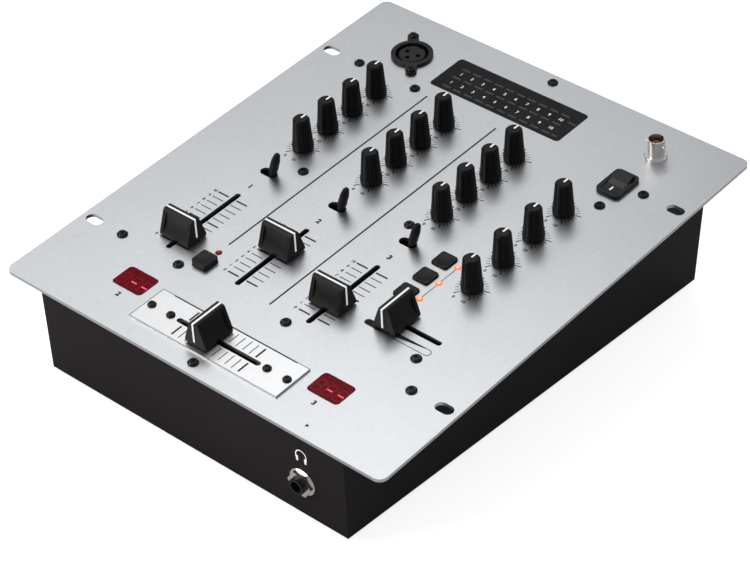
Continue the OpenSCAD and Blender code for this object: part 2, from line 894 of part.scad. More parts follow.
// A fader's body: a closed channel with a slot in its top face, along x
module fader_track(travel, width, height) {
    difference() {
        block([travel + 2 * track_end, width, height], -height);
        block([travel + carriage_l + 2, track_w - 2 * track_wall, height - 2 * track_wall], track_wall - height);
        block([travel + lever_w + 2, lever_t + 2 * move_gap, 2 * track_wall], -track_wall - 0.5);
    }
}

// The crossfader's body hangs from its own plate by two screws
module cross_track() {
    difference() {
        block([cross_body_l, cross_body_w, cross_body_h], -cross_body_h);
        block([fader_travel + carriage_l + 2, track_w - 2 * track_wall, cross_body_h - 2 * track_wall], track_wall - cross_body_h);
        block([fader_travel + lever_w + 2, lever_t + 2 * move_gap, 2 * track_wall], -track_wall - 0.5);
        for (s = sides)
            translate([s * fader_screw_x, 0, -cross_plate_t - panel_t - 1])
                cylinder(r = pilot_r, h = cross_body_h);
    }
}

module fader_tracks() {
    color("darkgray") {
        for (i = channels)
            on_panel([channel_x(i), fader_y], board_z + track_h)
                rotate(90)
                    fader_track(fader_travel, track_w, track_h);
        on_panel([cue_fader_x, cue_fader_y], board_z + track_h)
            fader_track(cue_fader_travel, track_w, track_h);
        on_panel([0, cross_y])
            cross_track();
    }
}

module crossfader_plate() {
    color("lightgray")
        on_panel([0, cross_y])
            linear_extrude(cross_plate_t)
                difference() {
                    square([cross_plate_l, cross_plate_w], center = true);
                    slot_shape(fader_travel + fader_slot_extra, fader_slot_w);
                    for (x = [plate_screw_x, fader_screw_x]) for (s = sides)
                        translate([s * x, 0])
                            circle(pilot_r);
                }
}

pot_w = 10;
pot_h = 6.5;

module potentiometers() {
    color("slategray")
        for (p = knob_places)
            on_panel(p, board_z)
                difference() {
                    union() {
                        block([pot_w, pot_w, pot_h], 0);
                        cylinder(r = bushing_r, h = board_gap + panel_t);
                    }
                    translate([0, 0, 1])
                        cylinder(r = shaft_r + shaft_gap, h = board_gap + panel_t);
                }
}

toggle_body_l = 13;
toggle_body_w = 9;
toggle_body_h = board_gap - 1;
toggle_barrel_r = 2;
toggle_wall = 1;
toggle_pin_r = 1;
toggle_base_l = 4.2;
toggle_tip_l = 3;
// Radius of the round stock that still clears the oval hole at each end of the throw
toggle_stock_r = min(
    toggle_hole_w / 2,
    (toggle_hole_l / 2 - toggle_pivot_depth * tan(toggle_angle)) * cos(toggle_angle)
) - move_gap;
toggle_tip_r = toggle_stock_r - 0.4;
toggle_root_l = 2.8;
toggle_barrel_l = 5.4;

// Each switch body is open on top, and its lever turns in a bearing across it
module toggle_bodies() {
    pivot_z = board_gap + panel_t - toggle_pivot_depth;
    color("black")
        for (i = channels)
            on_panel([channel_x(i), toggle_y], board_z)
                difference() {
                    block([toggle_body_l, toggle_body_w, toggle_body_h], 0);
                    block([toggle_body_l - 2 * toggle_wall, toggle_barrel_l + 2 * move_gap, toggle_body_h], toggle_wall);
                    translate([0, 0, pivot_z])
                        rotate([90, 0, 0])
                            cylinder(r = toggle_pin_r + shaft_gap, h = toggle_body_w + 2 * cut, center = true);
                }
}

module button_switches() {
    color("dimgray")
        for (p = button_places)
            on_panel(p, board_z)
                difference() {
                    block([switch_body_w, switch_body_w, switch_body_h], 0);
                    block([plunger_w + 2 * move_gap, plunger_w + 2 * move_gap, switch_body_h], switch_wall);
                }
}

switch_body_w = 7;
switch_body_h = 6;
switch_wall = 1;
plunger_w = 3;
button_body_h = 6.8;

lens_l = 5;
spacer_r = 2.2;

// Domed lenses in the faceplate, each on a spacer that stands on the control board
module indicator_leds() {
    dome_h = 0.8;
    color("orangered")
        for (p = led_places)
            on_panel(p)  {
                rotate_extrude($fn = round_fn)
                    polygon([
                        [0, -lens_l], [led_r, -lens_l], [led_r, 0],
                        for (a = [15 : 15 : 90]) [led_r * cos(a), dome_h * sin(a)],
                    ]);
                translate([0, 0, board_z])
                    cylinder(r = spacer_r, h = -board_z - lens_l);
            }
}

board_front_y = -143;
board_rear_y = 80;
board_half_w = 94;
tab_left_x = -63;
tab_right_x = 42;
tab_rear_y = 137;

module control_board() {
    color("darkgreen")
        on_panel(z = board_bottom_z)
            linear_extrude(board_t)
                difference() {
                    polygon([
                        [-board_half_w, board_front_y], [board_half_w, board_front_y],
                        [board_half_w, board_rear_y], [tab_right_x, board_rear_y],
                        [tab_right_x, tab_rear_y], [tab_left_x, tab_rear_y],
                        [tab_left_x, board_rear_y], [-board_half_w, board_rear_y],
                    ]);
                    for (p = standoff_places)
                        translate(p)
                            circle(screw_r);
                }
}

module board_standoffs() {
    color("lightsteelblue")
        for (p = standoff_places)
            on_panel(p, board_z)
                linear_extrude(board_gap)
                    difference() {
                        hexagon(standoff_w);
                        circle(pilot_r);
                    }
}

// ---- Rear panel ----------------------------------------------------------------------

phono_wall = 0.7;
phono_block_l = 10;
phono_floor = 1;
phono_pin_r = 1.6;

// Metal barrels, each with a collar against the rear panel
module phono_barrels() {
    color("gainsboro")
        for (p = phono_places)
            on_rear(p)
                rotate_extrude($fn = round_fn)
                    polygon([
                        [phono_r - phono_wall, -sheet_t], [phono_r, -sheet_t], [phono_r, 0], [phono_r + 1.2, 0],
                        [phono_r + 1.2, 1], [phono_r, 1], [phono_r, phono_l - 0.4], [phono_r - 0.3, phono_l],
                        [phono_r - phono_wall, phono_l],
                    ]);
}

module phono_insulators() {
    inner_r = phono_r - phono_wall - thread_gap;
    color("white") {
        for (p = phono_places)
            on_rear(p)
                rotate_extrude($fn = round_fn)
                    polygon([
                        [phono_pin_r, -sheet_t], [inner_r, -sheet_t], [inner_r, phono_l - 2], [phono_pin_r, phono_l - 2],
                    ]);
        for (i = [0 : pair_count - 1])
            on_rear([first_pair_x + i * pair_pitch, floor_z + phono_z + phono_drop / 2])
                block([phono_block_w, phono_drop + phono_block_w, phono_block_l], -sheet_t - phono_block_l);
    }
}

phono_block_w = 11;

module ground_posts() {
    color("gainsboro")
        for (s = [0, 1])
            on_rear([ground_x + s * ground_pitch, ground_z])
                rotate_extrude($fn = round_fn)
                    polygon([
                        [0, -sheet_t - 3], [screw_r, -sheet_t - 3], [screw_r, 0], [ground_r, 0], [ground_r, 1.5],
                        [ground_r - 0.8, 2], [ground_r - 0.8, 3], [ground_r, 3.5], [ground_r, ground_l - 1],
                        [ground_r - 1, ground_l], [0, ground_l],
                    ]);
}

// Upright board behind the rear panel that carries the phono sockets
module input_board() {
    board_l = (pair_count - 1) * pair_pitch + phono_block_w;
    board_h = phono_drop + phono_block_w + 8;
    color("darkgreen")
        on_rear([first_pair_x + (pair_count - 1) * pair_pitch / 2, floor_z + phono_z + phono_drop / 2])
            block([board_l, board_h, board_t], -sheet_t - phono_block_l - board_t);
}

inlet_pin_pitch = 7;
inlet_pin_l = 14;

module inlet_shape(w, h) {
    chamfer = h * 0.3;
    polygon([
        [-w / 2, -h / 2], [w / 2, -h / 2], [w / 2, h / 2 - chamfer], [w / 2 - chamfer, h / 2],
        [chamfer - w / 2, h / 2], [-w / 2, h / 2 - chamfer],
    ]);
}

// Appliance inlet with a chamfered recess and three flat pins
module mains_inlet() {
    recess_w = inlet_body_w - 2 * inlet_wall;
    recess_h = inlet_body_h - 2 * inlet_wall;
    color("black")
        on_rear([inlet_x, floor_z + inlet_z]) {
            difference() {
                union() {
                    block([inlet_w, inlet_h, inlet_flange_t], 0);
                    block([inlet_body_w, inlet_body_h, inlet_depth + 2], -inlet_depth - 2);
                }
                translate([0, 0, -inlet_depth])
                    linear_extrude(inlet_depth + inlet_flange_t + cut)
                        rotate(180)
                            inlet_shape(recess_w, recess_h);
            }
            for (x = [-1, 0, 1])
                translate([x * inlet_pin_pitch, x == 0 ? -2 : 2, 0])
                    block([2, 4, inlet_pin_l], -inlet_depth);
        }
}

supply_w = 62;
supply_d = 52;
supply_core_h = 22;
supply_lug_t = 2;

// Mains transformer: a laminated core on its bracket, with the winding through it
module power_supply() {
    color("goldenrod")
        translate([48, 40, floor_z]) {
            block([supply_w + 16, supply_d * 0.5, supply_lug_t], 0);
            block([supply_w, supply_d, supply_core_h], supply_lug_t);
            block([supply_w * 0.6, supply_d * 0.9, 6], supply_lug_t + supply_core_h);
        }
}

// ---- Moving pieces -------------------------------------------------------------------

// A ribbed knob on its shaft; the shaft turns in the bushing of its potentiometer
module knob(place) {
    grip_r = knob_r - 0.3;
    socket_h = knob_h * 0.6;
    taper = atan((grip_r - knob_top_r) / (knob_h - knob_skirt_h));
    on_panel(place) {
        translate([0, 0, knob_lift])
            difference() {
                rotate_extrude($fn = round_fn)
                    polygon([
                        [0, 0], [knob_r - 0.3, 0], [knob_r, 0.3], [knob_r, knob_skirt_h - 0.6],
                        [grip_r, knob_skirt_h], [knob_top_r, knob_h - knob_bevel],
                        [knob_top_r - knob_bevel, knob_h], [0, knob_h],
                    ]);
                for (i = [0 : flute_count - 1])
                    rotate((i + 0.5) * 360 / flute_count)
                        translate([grip_r + flute_r * 0.45, 0, knob_skirt_h + 0.8])
                            rotate([0, -taper, 0])
                                cylinder(r = flute_r, h = knob_h, $fn = 16);
                translate([0, 0, -cut])
                    cylinder(r = shaft_r + thread_gap, h = socket_h + cut);
            }
        translate([0, 0, board_z + 1 + move_gap])
            difference() {
                cylinder(r = shaft_r, h = knob_lift + socket_h - thread_gap - board_z - 1 - move_gap);
                translate([shaft_r, 0, -board_z + 2 + knob_lift])
                    block([2, 2 * shaft_r, knob_h], 0);
            }
    }
}

module channel_knob(channel, row) {
    color("black")
        knob([channel_x(channel), row_y(row)]);
}

module right_knob(row) {
    color("black")
        knob([right_column_x, right_y(row)]);
}

// Side view of a fader cap, with x along its travel
module cap_profile() {
    polygon([
        [-cap_w / 2, 0], [cap_w / 2, 0], [cap_w / 2, cap_skirt_h], [cap_ridge_w / 2 + 0.5, cap_h - 1],
        [cap_ridge_w / 2 - 0.3, cap_h], [0.3 - cap_ridge_w / 2, cap_h], [-cap_ridge_w / 2 - 0.5, cap_h - 1],
        [-cap_w / 2, cap_skirt_h],
    ]);
}

// A fader cap on its metal lever; it slides along x, and its base is at height lift
module fader_cap(lift, track_top) {
    scoop_r = 22;
    flank_run = (cap_w - cap_ridge_w) / 2 - 0.5;
    flank_rise = cap_h - 1 - cap_skirt_h;
    flank_angle = atan(flank_run / flank_rise);
    flank_x = (cap_w + cap_ridge_w + 1) / 4;
    flank_z = (cap_h - 1 + cap_skirt_h) / 2;
    pocket_h = cap_h * 0.6;
    carriage_z = track_top - track_wall - move_gap - carriage_h;
    translate([0, 0, lift])
        difference() {
            rotate([90, 0, 0])
                linear_extrude(cap_l, center = true)
                    cap_profile();
            for (s = sides)
                translate([
                    s * (flank_x + (scoop_r - scoop_depth) * cos(flank_angle)), 0,
                    flank_z + (scoop_r - scoop_depth) * sin(flank_angle),
                ])
                    rotate([90, 0, 0])
                        cylinder(r = scoop_r, h = cap_l - 2 * cheek_w, center = true, $fn = 96);
            block([lever_w + 2 * thread_gap, lever_t + 2 * thread_gap, pocket_h + cut], -cut);
        }
    block([lever_w, lever_t, lift + pocket_h - thread_gap - carriage_z], carriage_z);
    block([carriage_l, carriage_w, carriage_h], carriage_z);
}

module channel_fader_cap(channel) {
    color("black")
        on_panel([channel_x(channel), fader_y + fader_rest[channel]])
            rotate(90)
                fader_cap(cap_lift, board_z + track_h);
}

module cross_cap() {
    color("black")
        on_panel([cross_rest, cross_y])
            fader_cap(cap_lift + cross_plate_t, 0);
}

module cue_mix_cap() {
    color("black")
        on_panel([cue_fader_x + cue_rest, cue_fader_y])
            fader_cap(cap_lift, board_z + track_h);
}

// A round tapered lever with two flats, on a barrel and pin, tipped to the right
module toggle_lever(channel) {
    reach = toggle_pivot_depth + toggle_h;
    tip_edge = 0.8;
    color("black")
        on_panel([channel_x(channel), toggle_y], -toggle_pivot_depth)
            rotate([0, toggle_angle, 0]) {
                intersection() {
                    rotate([90, 0, 0])
                        linear_extrude(2 * toggle_stock_r + cut, center = true)
                            polygon([
                                [-toggle_root_l / 2, 0], [toggle_root_l / 2, 0],
                                [toggle_base_l / 2, toggle_pivot_depth], [toggle_tip_l / 2, reach + cut],
                                [-toggle_tip_l / 2, reach + cut], [-toggle_base_l / 2, toggle_pivot_depth],
                            ]);
                    rotate_extrude($fn = round_fn)
                        polygon([
                            [0, -cut], [toggle_stock_r, -cut], [toggle_stock_r, toggle_pivot_depth],
                            [toggle_tip_r, reach - tip_edge], [toggle_tip_r - tip_edge, reach], [0, reach],
                        ]);
                }
                rotate([90, 0, 0])
                    cylinder(r = toggle_barrel_r, h = toggle_barrel_l, center = true);
                rotate([90, 0, 0])
                    cylinder(r = toggle_pin_r, h = toggle_body_w, center = true);
            }
}

// A square push button with a dished face, its plunger reaching into the switch
module button(place, height) {
    dish_r = 30;
    dish = 0.35;
    color("black")
        on_panel(place, height - button_body_h) {
            difference() {
                linear_extrude(button_body_h)
                    rounded_rect(button_w, button_d, button_corner_r);
                translate([0, 0, button_body_h + dish_r - dish])
                    sphere(dish_r, $fn = 128);
            }
            block([plunger_w, plunger_w, plunger_l], -plunger_l);
        }
}

// The plunger stops short of the switch's floor when the button is pressed
plunger_l = button_up - button_travel - button_body_h - board_z - switch_wall - 2 * move_gap;

// ---- Nodes ---------------------------------------------------------------------------

faceplate();
chassis();
rear_panel();
rubber_feet();
faceplate_screws();
small_screws();
crossfader_plate();
meter_window();
meter_leds();
display_windows();
display_modules();
mic_socket_shell();
mic_socket_insert();
lamp_socket_shell();
lamp_socket_core();
power_switch_frame();
headphone_jack();
headphone_nut();
fader_tracks();
potentiometers();
toggle_bodies();
button_switches();
indicator_leds();
control_board();
board_standoffs();
phono_barrels();
phono_insulators();
ground_posts();
input_board();
mains_inlet();
power_supply();
channel_knob(0, 0);  // knob_ch1_gain
channel_knob(0, 1);  // knob_ch1_high
channel_knob(0, 2);  // knob_ch1_mid
channel_knob(0, 3);  // knob_ch1_low
channel_knob(1, 0);  // knob_ch2_gain
channel_knob(1, 1);  // knob_ch2_high
channel_knob(1, 2);  // knob_ch2_mid
channel_knob(1, 3);  // knob_ch2_low
channel_knob(2, 0);  // knob_ch3_gain
channel_knob(2, 1);  // knob_ch3_high
channel_knob(2, 2);  // knob_ch3_mid
channel_knob(2, 3);  // knob_ch3_low
right_knob(0);  // knob_master
right_knob(1);  // knob_balance
right_knob(2);  // knob_booth
right_knob(3);  // knob_headphones
channel_fader_cap(0);  // fader_cap_ch1
channel_fader_cap(1);  // fader_cap_ch2
channel_fader_cap(2);  // fader_cap_ch3
cross_cap();  // fader_cap_cross
cue_mix_cap();  // fader_cap_cue_mix
toggle_lever(0);  // toggle_lever_ch1
toggle_lever(1);  // toggle_lever_ch2
toggle_lever(2);  // toggle_lever_ch3
button(button_places[0], button_up);  // button_talk
button(button_places[1], button_up - button_travel);  // button_cue_ch1
button(button_places[2], button_up - button_travel);  // button_cue_ch2
button(button_places[3], button_up - button_travel);  // button_cue_ch3
power_rocker();
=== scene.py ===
"""Looks of a three-channel table-top DJ mixer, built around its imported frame."""

import json
import logging
import math
from collections.abc import Iterable, Mapping, Sequence
from dataclasses import dataclass, field
from enum import Enum
from functools import partial

import bpy
from mathutils import Matrix, Vector

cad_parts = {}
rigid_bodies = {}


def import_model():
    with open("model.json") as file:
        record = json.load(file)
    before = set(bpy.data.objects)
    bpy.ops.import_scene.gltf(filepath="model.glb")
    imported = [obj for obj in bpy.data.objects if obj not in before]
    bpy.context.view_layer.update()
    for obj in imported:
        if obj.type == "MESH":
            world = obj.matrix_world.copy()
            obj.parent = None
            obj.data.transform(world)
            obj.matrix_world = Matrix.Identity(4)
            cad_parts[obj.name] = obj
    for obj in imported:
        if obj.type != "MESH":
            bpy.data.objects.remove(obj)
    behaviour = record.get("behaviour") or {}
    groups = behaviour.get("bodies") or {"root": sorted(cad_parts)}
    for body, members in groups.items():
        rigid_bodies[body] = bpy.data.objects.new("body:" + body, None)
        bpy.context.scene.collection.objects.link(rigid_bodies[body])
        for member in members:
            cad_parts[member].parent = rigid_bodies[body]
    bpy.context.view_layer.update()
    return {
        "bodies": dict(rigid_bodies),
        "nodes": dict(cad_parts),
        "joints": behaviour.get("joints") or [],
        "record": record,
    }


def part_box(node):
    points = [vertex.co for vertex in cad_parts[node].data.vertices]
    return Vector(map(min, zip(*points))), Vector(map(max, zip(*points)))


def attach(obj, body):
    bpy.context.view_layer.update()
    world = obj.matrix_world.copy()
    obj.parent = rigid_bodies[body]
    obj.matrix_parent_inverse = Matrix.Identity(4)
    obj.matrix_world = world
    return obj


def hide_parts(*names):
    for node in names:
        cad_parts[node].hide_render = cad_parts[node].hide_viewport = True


LOG = logging.getLogger("mixer")
MM = 0.001
DIGIT_SHARE = 0.7  # A digit's height as a share of the font's size
BURIED_SHARE = 0.2  # The share of an ink's thickness that lies under its surface
NEAR = 0.01  # Millimetres within which two places count as one
ORIGIN = (0.0, 0.0, 0.0)
Triple = tuple[float, float, float]
Colour = Triple
Point = tuple[float, float]
Piece = bpy.types.Object
Material = bpy.types.Material
Socket = bpy.types.NodeSocket


class Lean(Enum):
    """The direction in which a fader cap slides, as the turn of its line in degrees."""

    ALONG_X = 90.0
    ALONG_Y = 0.0


# ---- Shader maths ---------------------------------------------------------------------


class Signal:
    """A number that varies over a surface, with the arithmetic of a Python number."""

    def __init__(self, nodes: "Nodes", socket: Socket) -> None:
        """Wraps an output socket of a node tree."""
        self.nodes = nodes
        self.socket = socket

    def _with(self, operation: str, first: object, second: object = 0.0) -> "Signal":
        """Adds a Math node.

        Args:
            operation: The node's operation.
            first, second: Numbers or Signals.

        Returns:
            The node's result.
        """
        settings = {"operation": operation}
        node = self.nodes.node("ShaderNodeMath", settings, {0: first, 1: second})
        return Signal(self.nodes, node.outputs[0])

    def __add__(self, other: object) -> "Signal":
        """Sum."""
        return self._with("ADD", self, other)

    def __sub__(self, other: object) -> "Signal":
        """Difference."""
        return self._with("SUBTRACT", self, other)

    def __mul__(self, other: object) -> "Signal":
        """Product."""
        return self._with("MULTIPLY", self, other)

    __radd__ = __add__

    def above(self, level: float) -> "Signal":
        """One where the signal is greater than a level, and zero elsewhere."""
        return self._with("GREATER_THAN", self, level)

    def clamped(self) -> "Signal":
        """The signal held between zero and one."""
        node = self.nodes.node("ShaderNodeClamp", {}, {0: self})
        return Signal(self.nodes, node.outputs[0])


class Nodes:
    """A node tree under construction."""

    def __init__(self, tree: bpy.types.NodeTree) -> None:
        """Empties a node tree.

        Args:
            tree: The tree of a material or a world.
        """
        self.tree = tree
        self.tree.nodes.clear()

    def node(
        self,
        kind: str,
        settings: Mapping[str, object] | None = None,
        inputs: Mapping[int | str, object] | None = None,
    ) -> bpy.types.Node:
        """Adds one node.

        Args:
            kind: The node's type.
            settings: Its settings.
            inputs: Values, Signals or output sockets for its inputs.

        Returns:
            The new node.
        """
        node = self.tree.nodes.new(kind)
        for name, value in (settings or {}).items():
            setattr(node, name, value)
        for key, value in (inputs or {}).items():
            self.feed(node.inputs[key], value)
        return node

    def feed(self, socket: Socket, value: object) -> None:
        """Sets or links an input socket.

        Args:
            socket: The input.
            value: A number, a colour, a Signal or an output socket.
        """
        if isinstance(value, Signal):
            value = value.socket
        if isinstance(value, Socket):
            self.tree.links.new(value, socket)
        elif isinstance(value, tuple) and socket.type == "RGBA":
            socket.default_value = (*value, 1.0)
        else:
            socket.default_value = value


class Shader(Nodes):
    """A material under construction, with one Principled shader."""

    def __init__(self, name: str) -> None:
        """Starts an empty material.

        Args:
            name: The material's name.
        """
        self.material = bpy.data.materials.new(name)
        self.material.use_nodes = True
        super().__init__(self.material.node_tree)
        self.surface = self.node("ShaderNodeBsdfPrincipled")
        self.node("ShaderNodeOutputMaterial", {}, {"Surface": self.surface.outputs[0]})
        self.place = self.node("ShaderNodeTexCoord").outputs["Object"]

    def set(self, **values: object) -> None:
        """Feeds inputs of the Principled shader, with underscores for spaces."""
        for name, value in values.items():
            self.feed(self.surface.inputs[name.replace("_", " ")], value)

    def stretched(self, scale: Triple, tilt: float) -> Socket:
        """Scales the object's coordinates.

        Args:
            scale: Factors along X, Y and Z.
            tilt: Turn about X in radians, to follow the faceplate.

        Returns:
            The scaled coordinates.
        """
        inputs = {"Vector": self.place, "Rotation": (tilt, 0.0, 0.0), "Scale": scale}
        return self.node("ShaderNodeMapping", {}, inputs).outputs[0]

    def noise(
        self, vector: Socket, scale: float, detail: float = 2.0
    ) -> Signal:
        """Adds a noise texture.

        Args:
            vector: The coordinates.
            scale: How fine the noise is, in cells per unit.
            detail: The number of octaves.

        Returns:
            The noise, about 0.5 on average.
        """
        inputs = {"Vector": vector, "Scale": scale, "Detail": detail}
        return Signal(self, self.node("ShaderNodeTexNoise", {}, inputs).outputs["Fac"])

    def height(self, plane: Triple) -> Signal:
        """Measures how far a place lies above a plane along X.

        Args:
            plane: The plane's factors of Y and Z, and its constant in metres.

        Returns:
            The height in metres.
        """
        split = self.node("ShaderNodeSeparateXYZ", {}, {0: self.place})
        y, z = Signal(self, split.outputs["Y"]), Signal(self, split.outputs["Z"])
        return y * plane[0] + z * plane[1] + plane[2]

    def between(self, factor: Signal, low: Colour, high: Colour) -> Socket:
        """Blends two colours.

        Args:
            factor: Zero for the first colour and one for the second.
            low: The first colour.
            high: The second colour.

        Returns:
            The blended colour.
        """
        inputs = {"Factor": factor, 6: low, 7: high}
        return self.node("ShaderNodeMix", {"data_type": "RGBA"}, inputs).outputs[2]

    def bump(self, height: Signal, strength: float, distance: float) -> None:
        """Gives the surface a relief.

        Args:
            height: The relief.
            strength: Its strength from zero to one.
            distance: Its depth in metres.
        """
        inputs = {"Height": height, "Strength": strength, "Distance": distance}
        self.set(Normal=self.node("ShaderNodeBump", {}, inputs).outputs[0])


# ---- Finishes -------------------------------------------------------------------------


def grey(level: float) -> Colour:
    """A colour without a hue."""
    return level, level, level


@dataclass(frozen=True)
class Finish:
    """A finish whose tone and gloss vary by a fine and a coarse noise.

    Attributes:
        name: The material's name.
        dark: Its colour where the tone is low.
        light: Its colour where the tone is high.
        roughness: Its roughness on average.
        fine: The fine noise, in cells per metre.
        coarse: The coarse noise, in cells per metre.
        share: The fine noise's share of the tone.
        contrast: How strongly the tone varies.
        spread: How strongly the roughness varies.
        even: Whether the roughness follows the tone, and not the fine noise.
        relief: The bump's strength, and its depth in metres.
        shine: The specular level.
        metallic: One for bare metal.
        glow: The strength of its painted glow, light it gives off though it is no lamp.
        stretch: Factors of the fine noise's coordinates.
        tilt: Their turn about X in radians, to follow the faceplate.
        detail: The number of the fine noise's octaves.
    """

    name: str
    dark: Colour
    light: Colour
    roughness: float
    fine: float
    coarse: float = 60.0
    share: float = 0.0
    contrast: float = 1.0
    spread: float = 0.12
    even: bool = False
    relief: Point = (0.0, 0.0)
    shine: float = 0.5
    metallic: float = 0.0
    glow: float = 0.0
    stretch: Triple = (1.0, 1.0, 1.0)
    tilt: float = 0.0
    detail: float = 2.0

    def material(self) -> Material:
        """Builds the finish."""
        shader = Shader(self.name)
        fine = shader.noise(shader.stretched(self.stretch, self.tilt), self.fine, self.detail)
        tone = fine
        if self.share < 1.0:
            coarse = shader.noise(shader.place, self.coarse)
            tone = fine * self.share + coarse * (1.0 - self.share)
        tone = ((tone - 0.5) * self.contrast + 0.5).clamped()
        gloss = tone if self.even else fine
        shader.set(
            Base_Color=shader.between(tone, self.dark, self.light),
            Metallic=self.metallic,
            Roughness=self.roughness + (gloss - 0.5) * self.spread,
            Specular_IOR_Level=self.shine,
            Emission_Color=self.light,
            Emission_Strength=self.glow,
        )
        if self.relief[0]:
            shader.bump(fine, *self.relief)
        return shader.material


# Aluminium brushed from front to rear, with fine streaks
brushed = partial(
    Finish, fine=1.0, coarse=11.0, share=0.7, contrast=2.4, spread=0.05, relief=(0.08, 0.00002),
    metallic=1.0, stretch=(2600.0, 22.0, 2600.0), detail=3.0,
)
# Powder paint on sheet steel, with a faint orange peel
painted = partial(Finish, fine=900.0, coarse=18.0, even=True, relief=(0.18, 0.0001), shine=0.06)
# Moulded plastic or rubber with a fine spark-eroded texture
moulded = partial(
    Finish, fine=2600.0, share=0.4, spread=0.14, relief=(0.12, 0.00006), shine=0.4
)
# Bright plated or bare metal with faint turning and handling marks
plated = partial(
    Finish, fine=700.0, coarse=150.0, relief=(0.05, 0.00004), metallic=1.0,
    stretch=(1.0, 1.0, 6.0), detail=3.0,
)
# Screen-printed ink, slightly uneven in its cover
ink = partial(Finish, roughness=0.5, fine=1800.0, share=1.0, spread=0.2, shine=0.2)
# A dark or coloured acrylic window with a clear gloss
window = partial(Finish, fine=90.0, share=1.0, contrast=2.4, spread=0.08, even=True, shine=0.12)


@dataclass(frozen=True)
class Glowing:
    """A lit display segment, or a part with a painted glow, that gives light of its own colour."""

    name: str
    body: Colour
    glow: Colour
    strength: float
    roughness: float = 0.25
    shine: float = 0.1
    grain: float = 900.0
    shade: Point = (0.75, 1.25)  # Factors of the glow's dark and the body's light tone

    def material(self) -> Material:
        """Builds the finish."""
        shader = Shader(self.name)
        depth = shader.noise(shader.place, self.grain)
        dim = tuple(self.shade[0] * part for part in self.glow)
        pale = tuple(self.shade[1] * part for part in self.body)
        shader.set(
            Base_Color=shader.between(depth, self.body, pale),
            Emission_Color=shader.between(depth, dim, self.glow),
            Emission_Strength=self.strength,
            Roughness=self.roughness,
            Specular_IOR_Level=self.shine,
        )
        return shader.material


@dataclass(frozen=True)
class LampLenses:
    """Indicator lenses: those right of the centre line are lit above the faceplate."""

    name: str
    off: Colour
    rim: Colour
    middle: Colour
    plane: Triple
    dome: float = 0.0008
    roughness: float = 0.3
    grain: float = 900.0
    grain_share: float = 0.1

    def material(self) -> Material:
        """Builds the finish."""
        shader = Shader(self.name)
        split = shader.node("ShaderNodeSeparateXYZ", {}, {0: shader.place})
        height = shader.height(self.plane)
        lit = Signal(shader, split.outputs["X"]).above(0.0) * height.above(0.0)
        crown = (height * (1.0 / self.dome)).clamped()
        depth = shader.noise(shader.place, self.grain)
        heart = crown * crown * crown
        blend = heart * (1.0 - self.grain_share) + depth * self.grain_share
        glow = shader.between(blend.clamped(), self.rim, self.middle)
        shader.set(
            Base_Color=shader.between(lit, self.off, self.rim),
            Emission_Color=shader.between(lit, grey(0.0), glow),
            Emission_Strength=1.0,
            Roughness=self.roughness,
        )
        return shader.material


# ---- Modelling ------------------------------------------------------------------------


def deselect_all() -> None:
    """Leaves edit mode and deselects every object."""
    if bpy.context.mode != "OBJECT":
        bpy.ops.object.mode_set(mode="OBJECT")
    bpy.ops.object.select_all(action="DESELECT")


def select_only(piece: Piece) -> None:
    """Makes one object the selected and active one."""
    deselect_all()
    piece.select_set(True)
    bpy.context.view_layer.objects.active = piece


def apply_modifiers(piece: Piece) -> None:
    """Applies an object's modifiers in order."""
    select_only(piece)
    for modifier in list(piece.modifiers):
        bpy.ops.object.modifier_apply(modifier=modifier.name)


def apply_place() -> None:
    """Puts the selected object's place, turn and size into its mesh."""
    bpy.ops.object.transform_apply(location=True, rotation=True, scale=True)


def join(pieces: Sequence[Piece]) -> Piece:
    """Joins pieces into the first of them, and leaves it selected."""
    select_only(pieces[0])
    if len(pieces) > 1:
        for piece in pieces[1:]:
            piece.select_set(True)
        bpy.ops.object.join()
    return pieces[0]


def thicken(sheet: Piece, thickness: float, side: float) -> None:
    """Gives a sheet of ink its thickness.

    Args:
        sheet: The sheet.
        thickness: Its thickness in millimetres.
        side: One for outwards, and zero for half to each side.
    """
    wall = sheet.modifiers.new("ink", "SOLIDIFY")
    wall.thickness = thickness
    wall.offset = side
    apply_modifiers(sheet)


def settle(piece: Piece, frame: Matrix) -> None:
    """Moves a piece from its own coordinates into the part's frame.

    Args:
        piece: The piece, modelled in metres at the origin of the given frame.
        frame: Where that origin lies and how it is turned.
    """
    select_only(piece)
    piece.matrix_world = frame @ piece.matrix_world
    apply_place()


def finish_piece(piece: Piece, name: str, body: str, material: Material) -> None:
    """Names a piece, dresses it and ties it to its body.

    Args:
        piece: The finished mesh, at its place.
        name: The piece's name.
        body: The body that it rides on.
        material: Its finish.
    """
    piece.name = name
    piece.data.name = name
    piece.data.materials.clear()
    piece.data.materials.append(material)
    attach(piece, body)
    LOG.info("%s on %s: %d faces", name, body, len(piece.data.polygons))


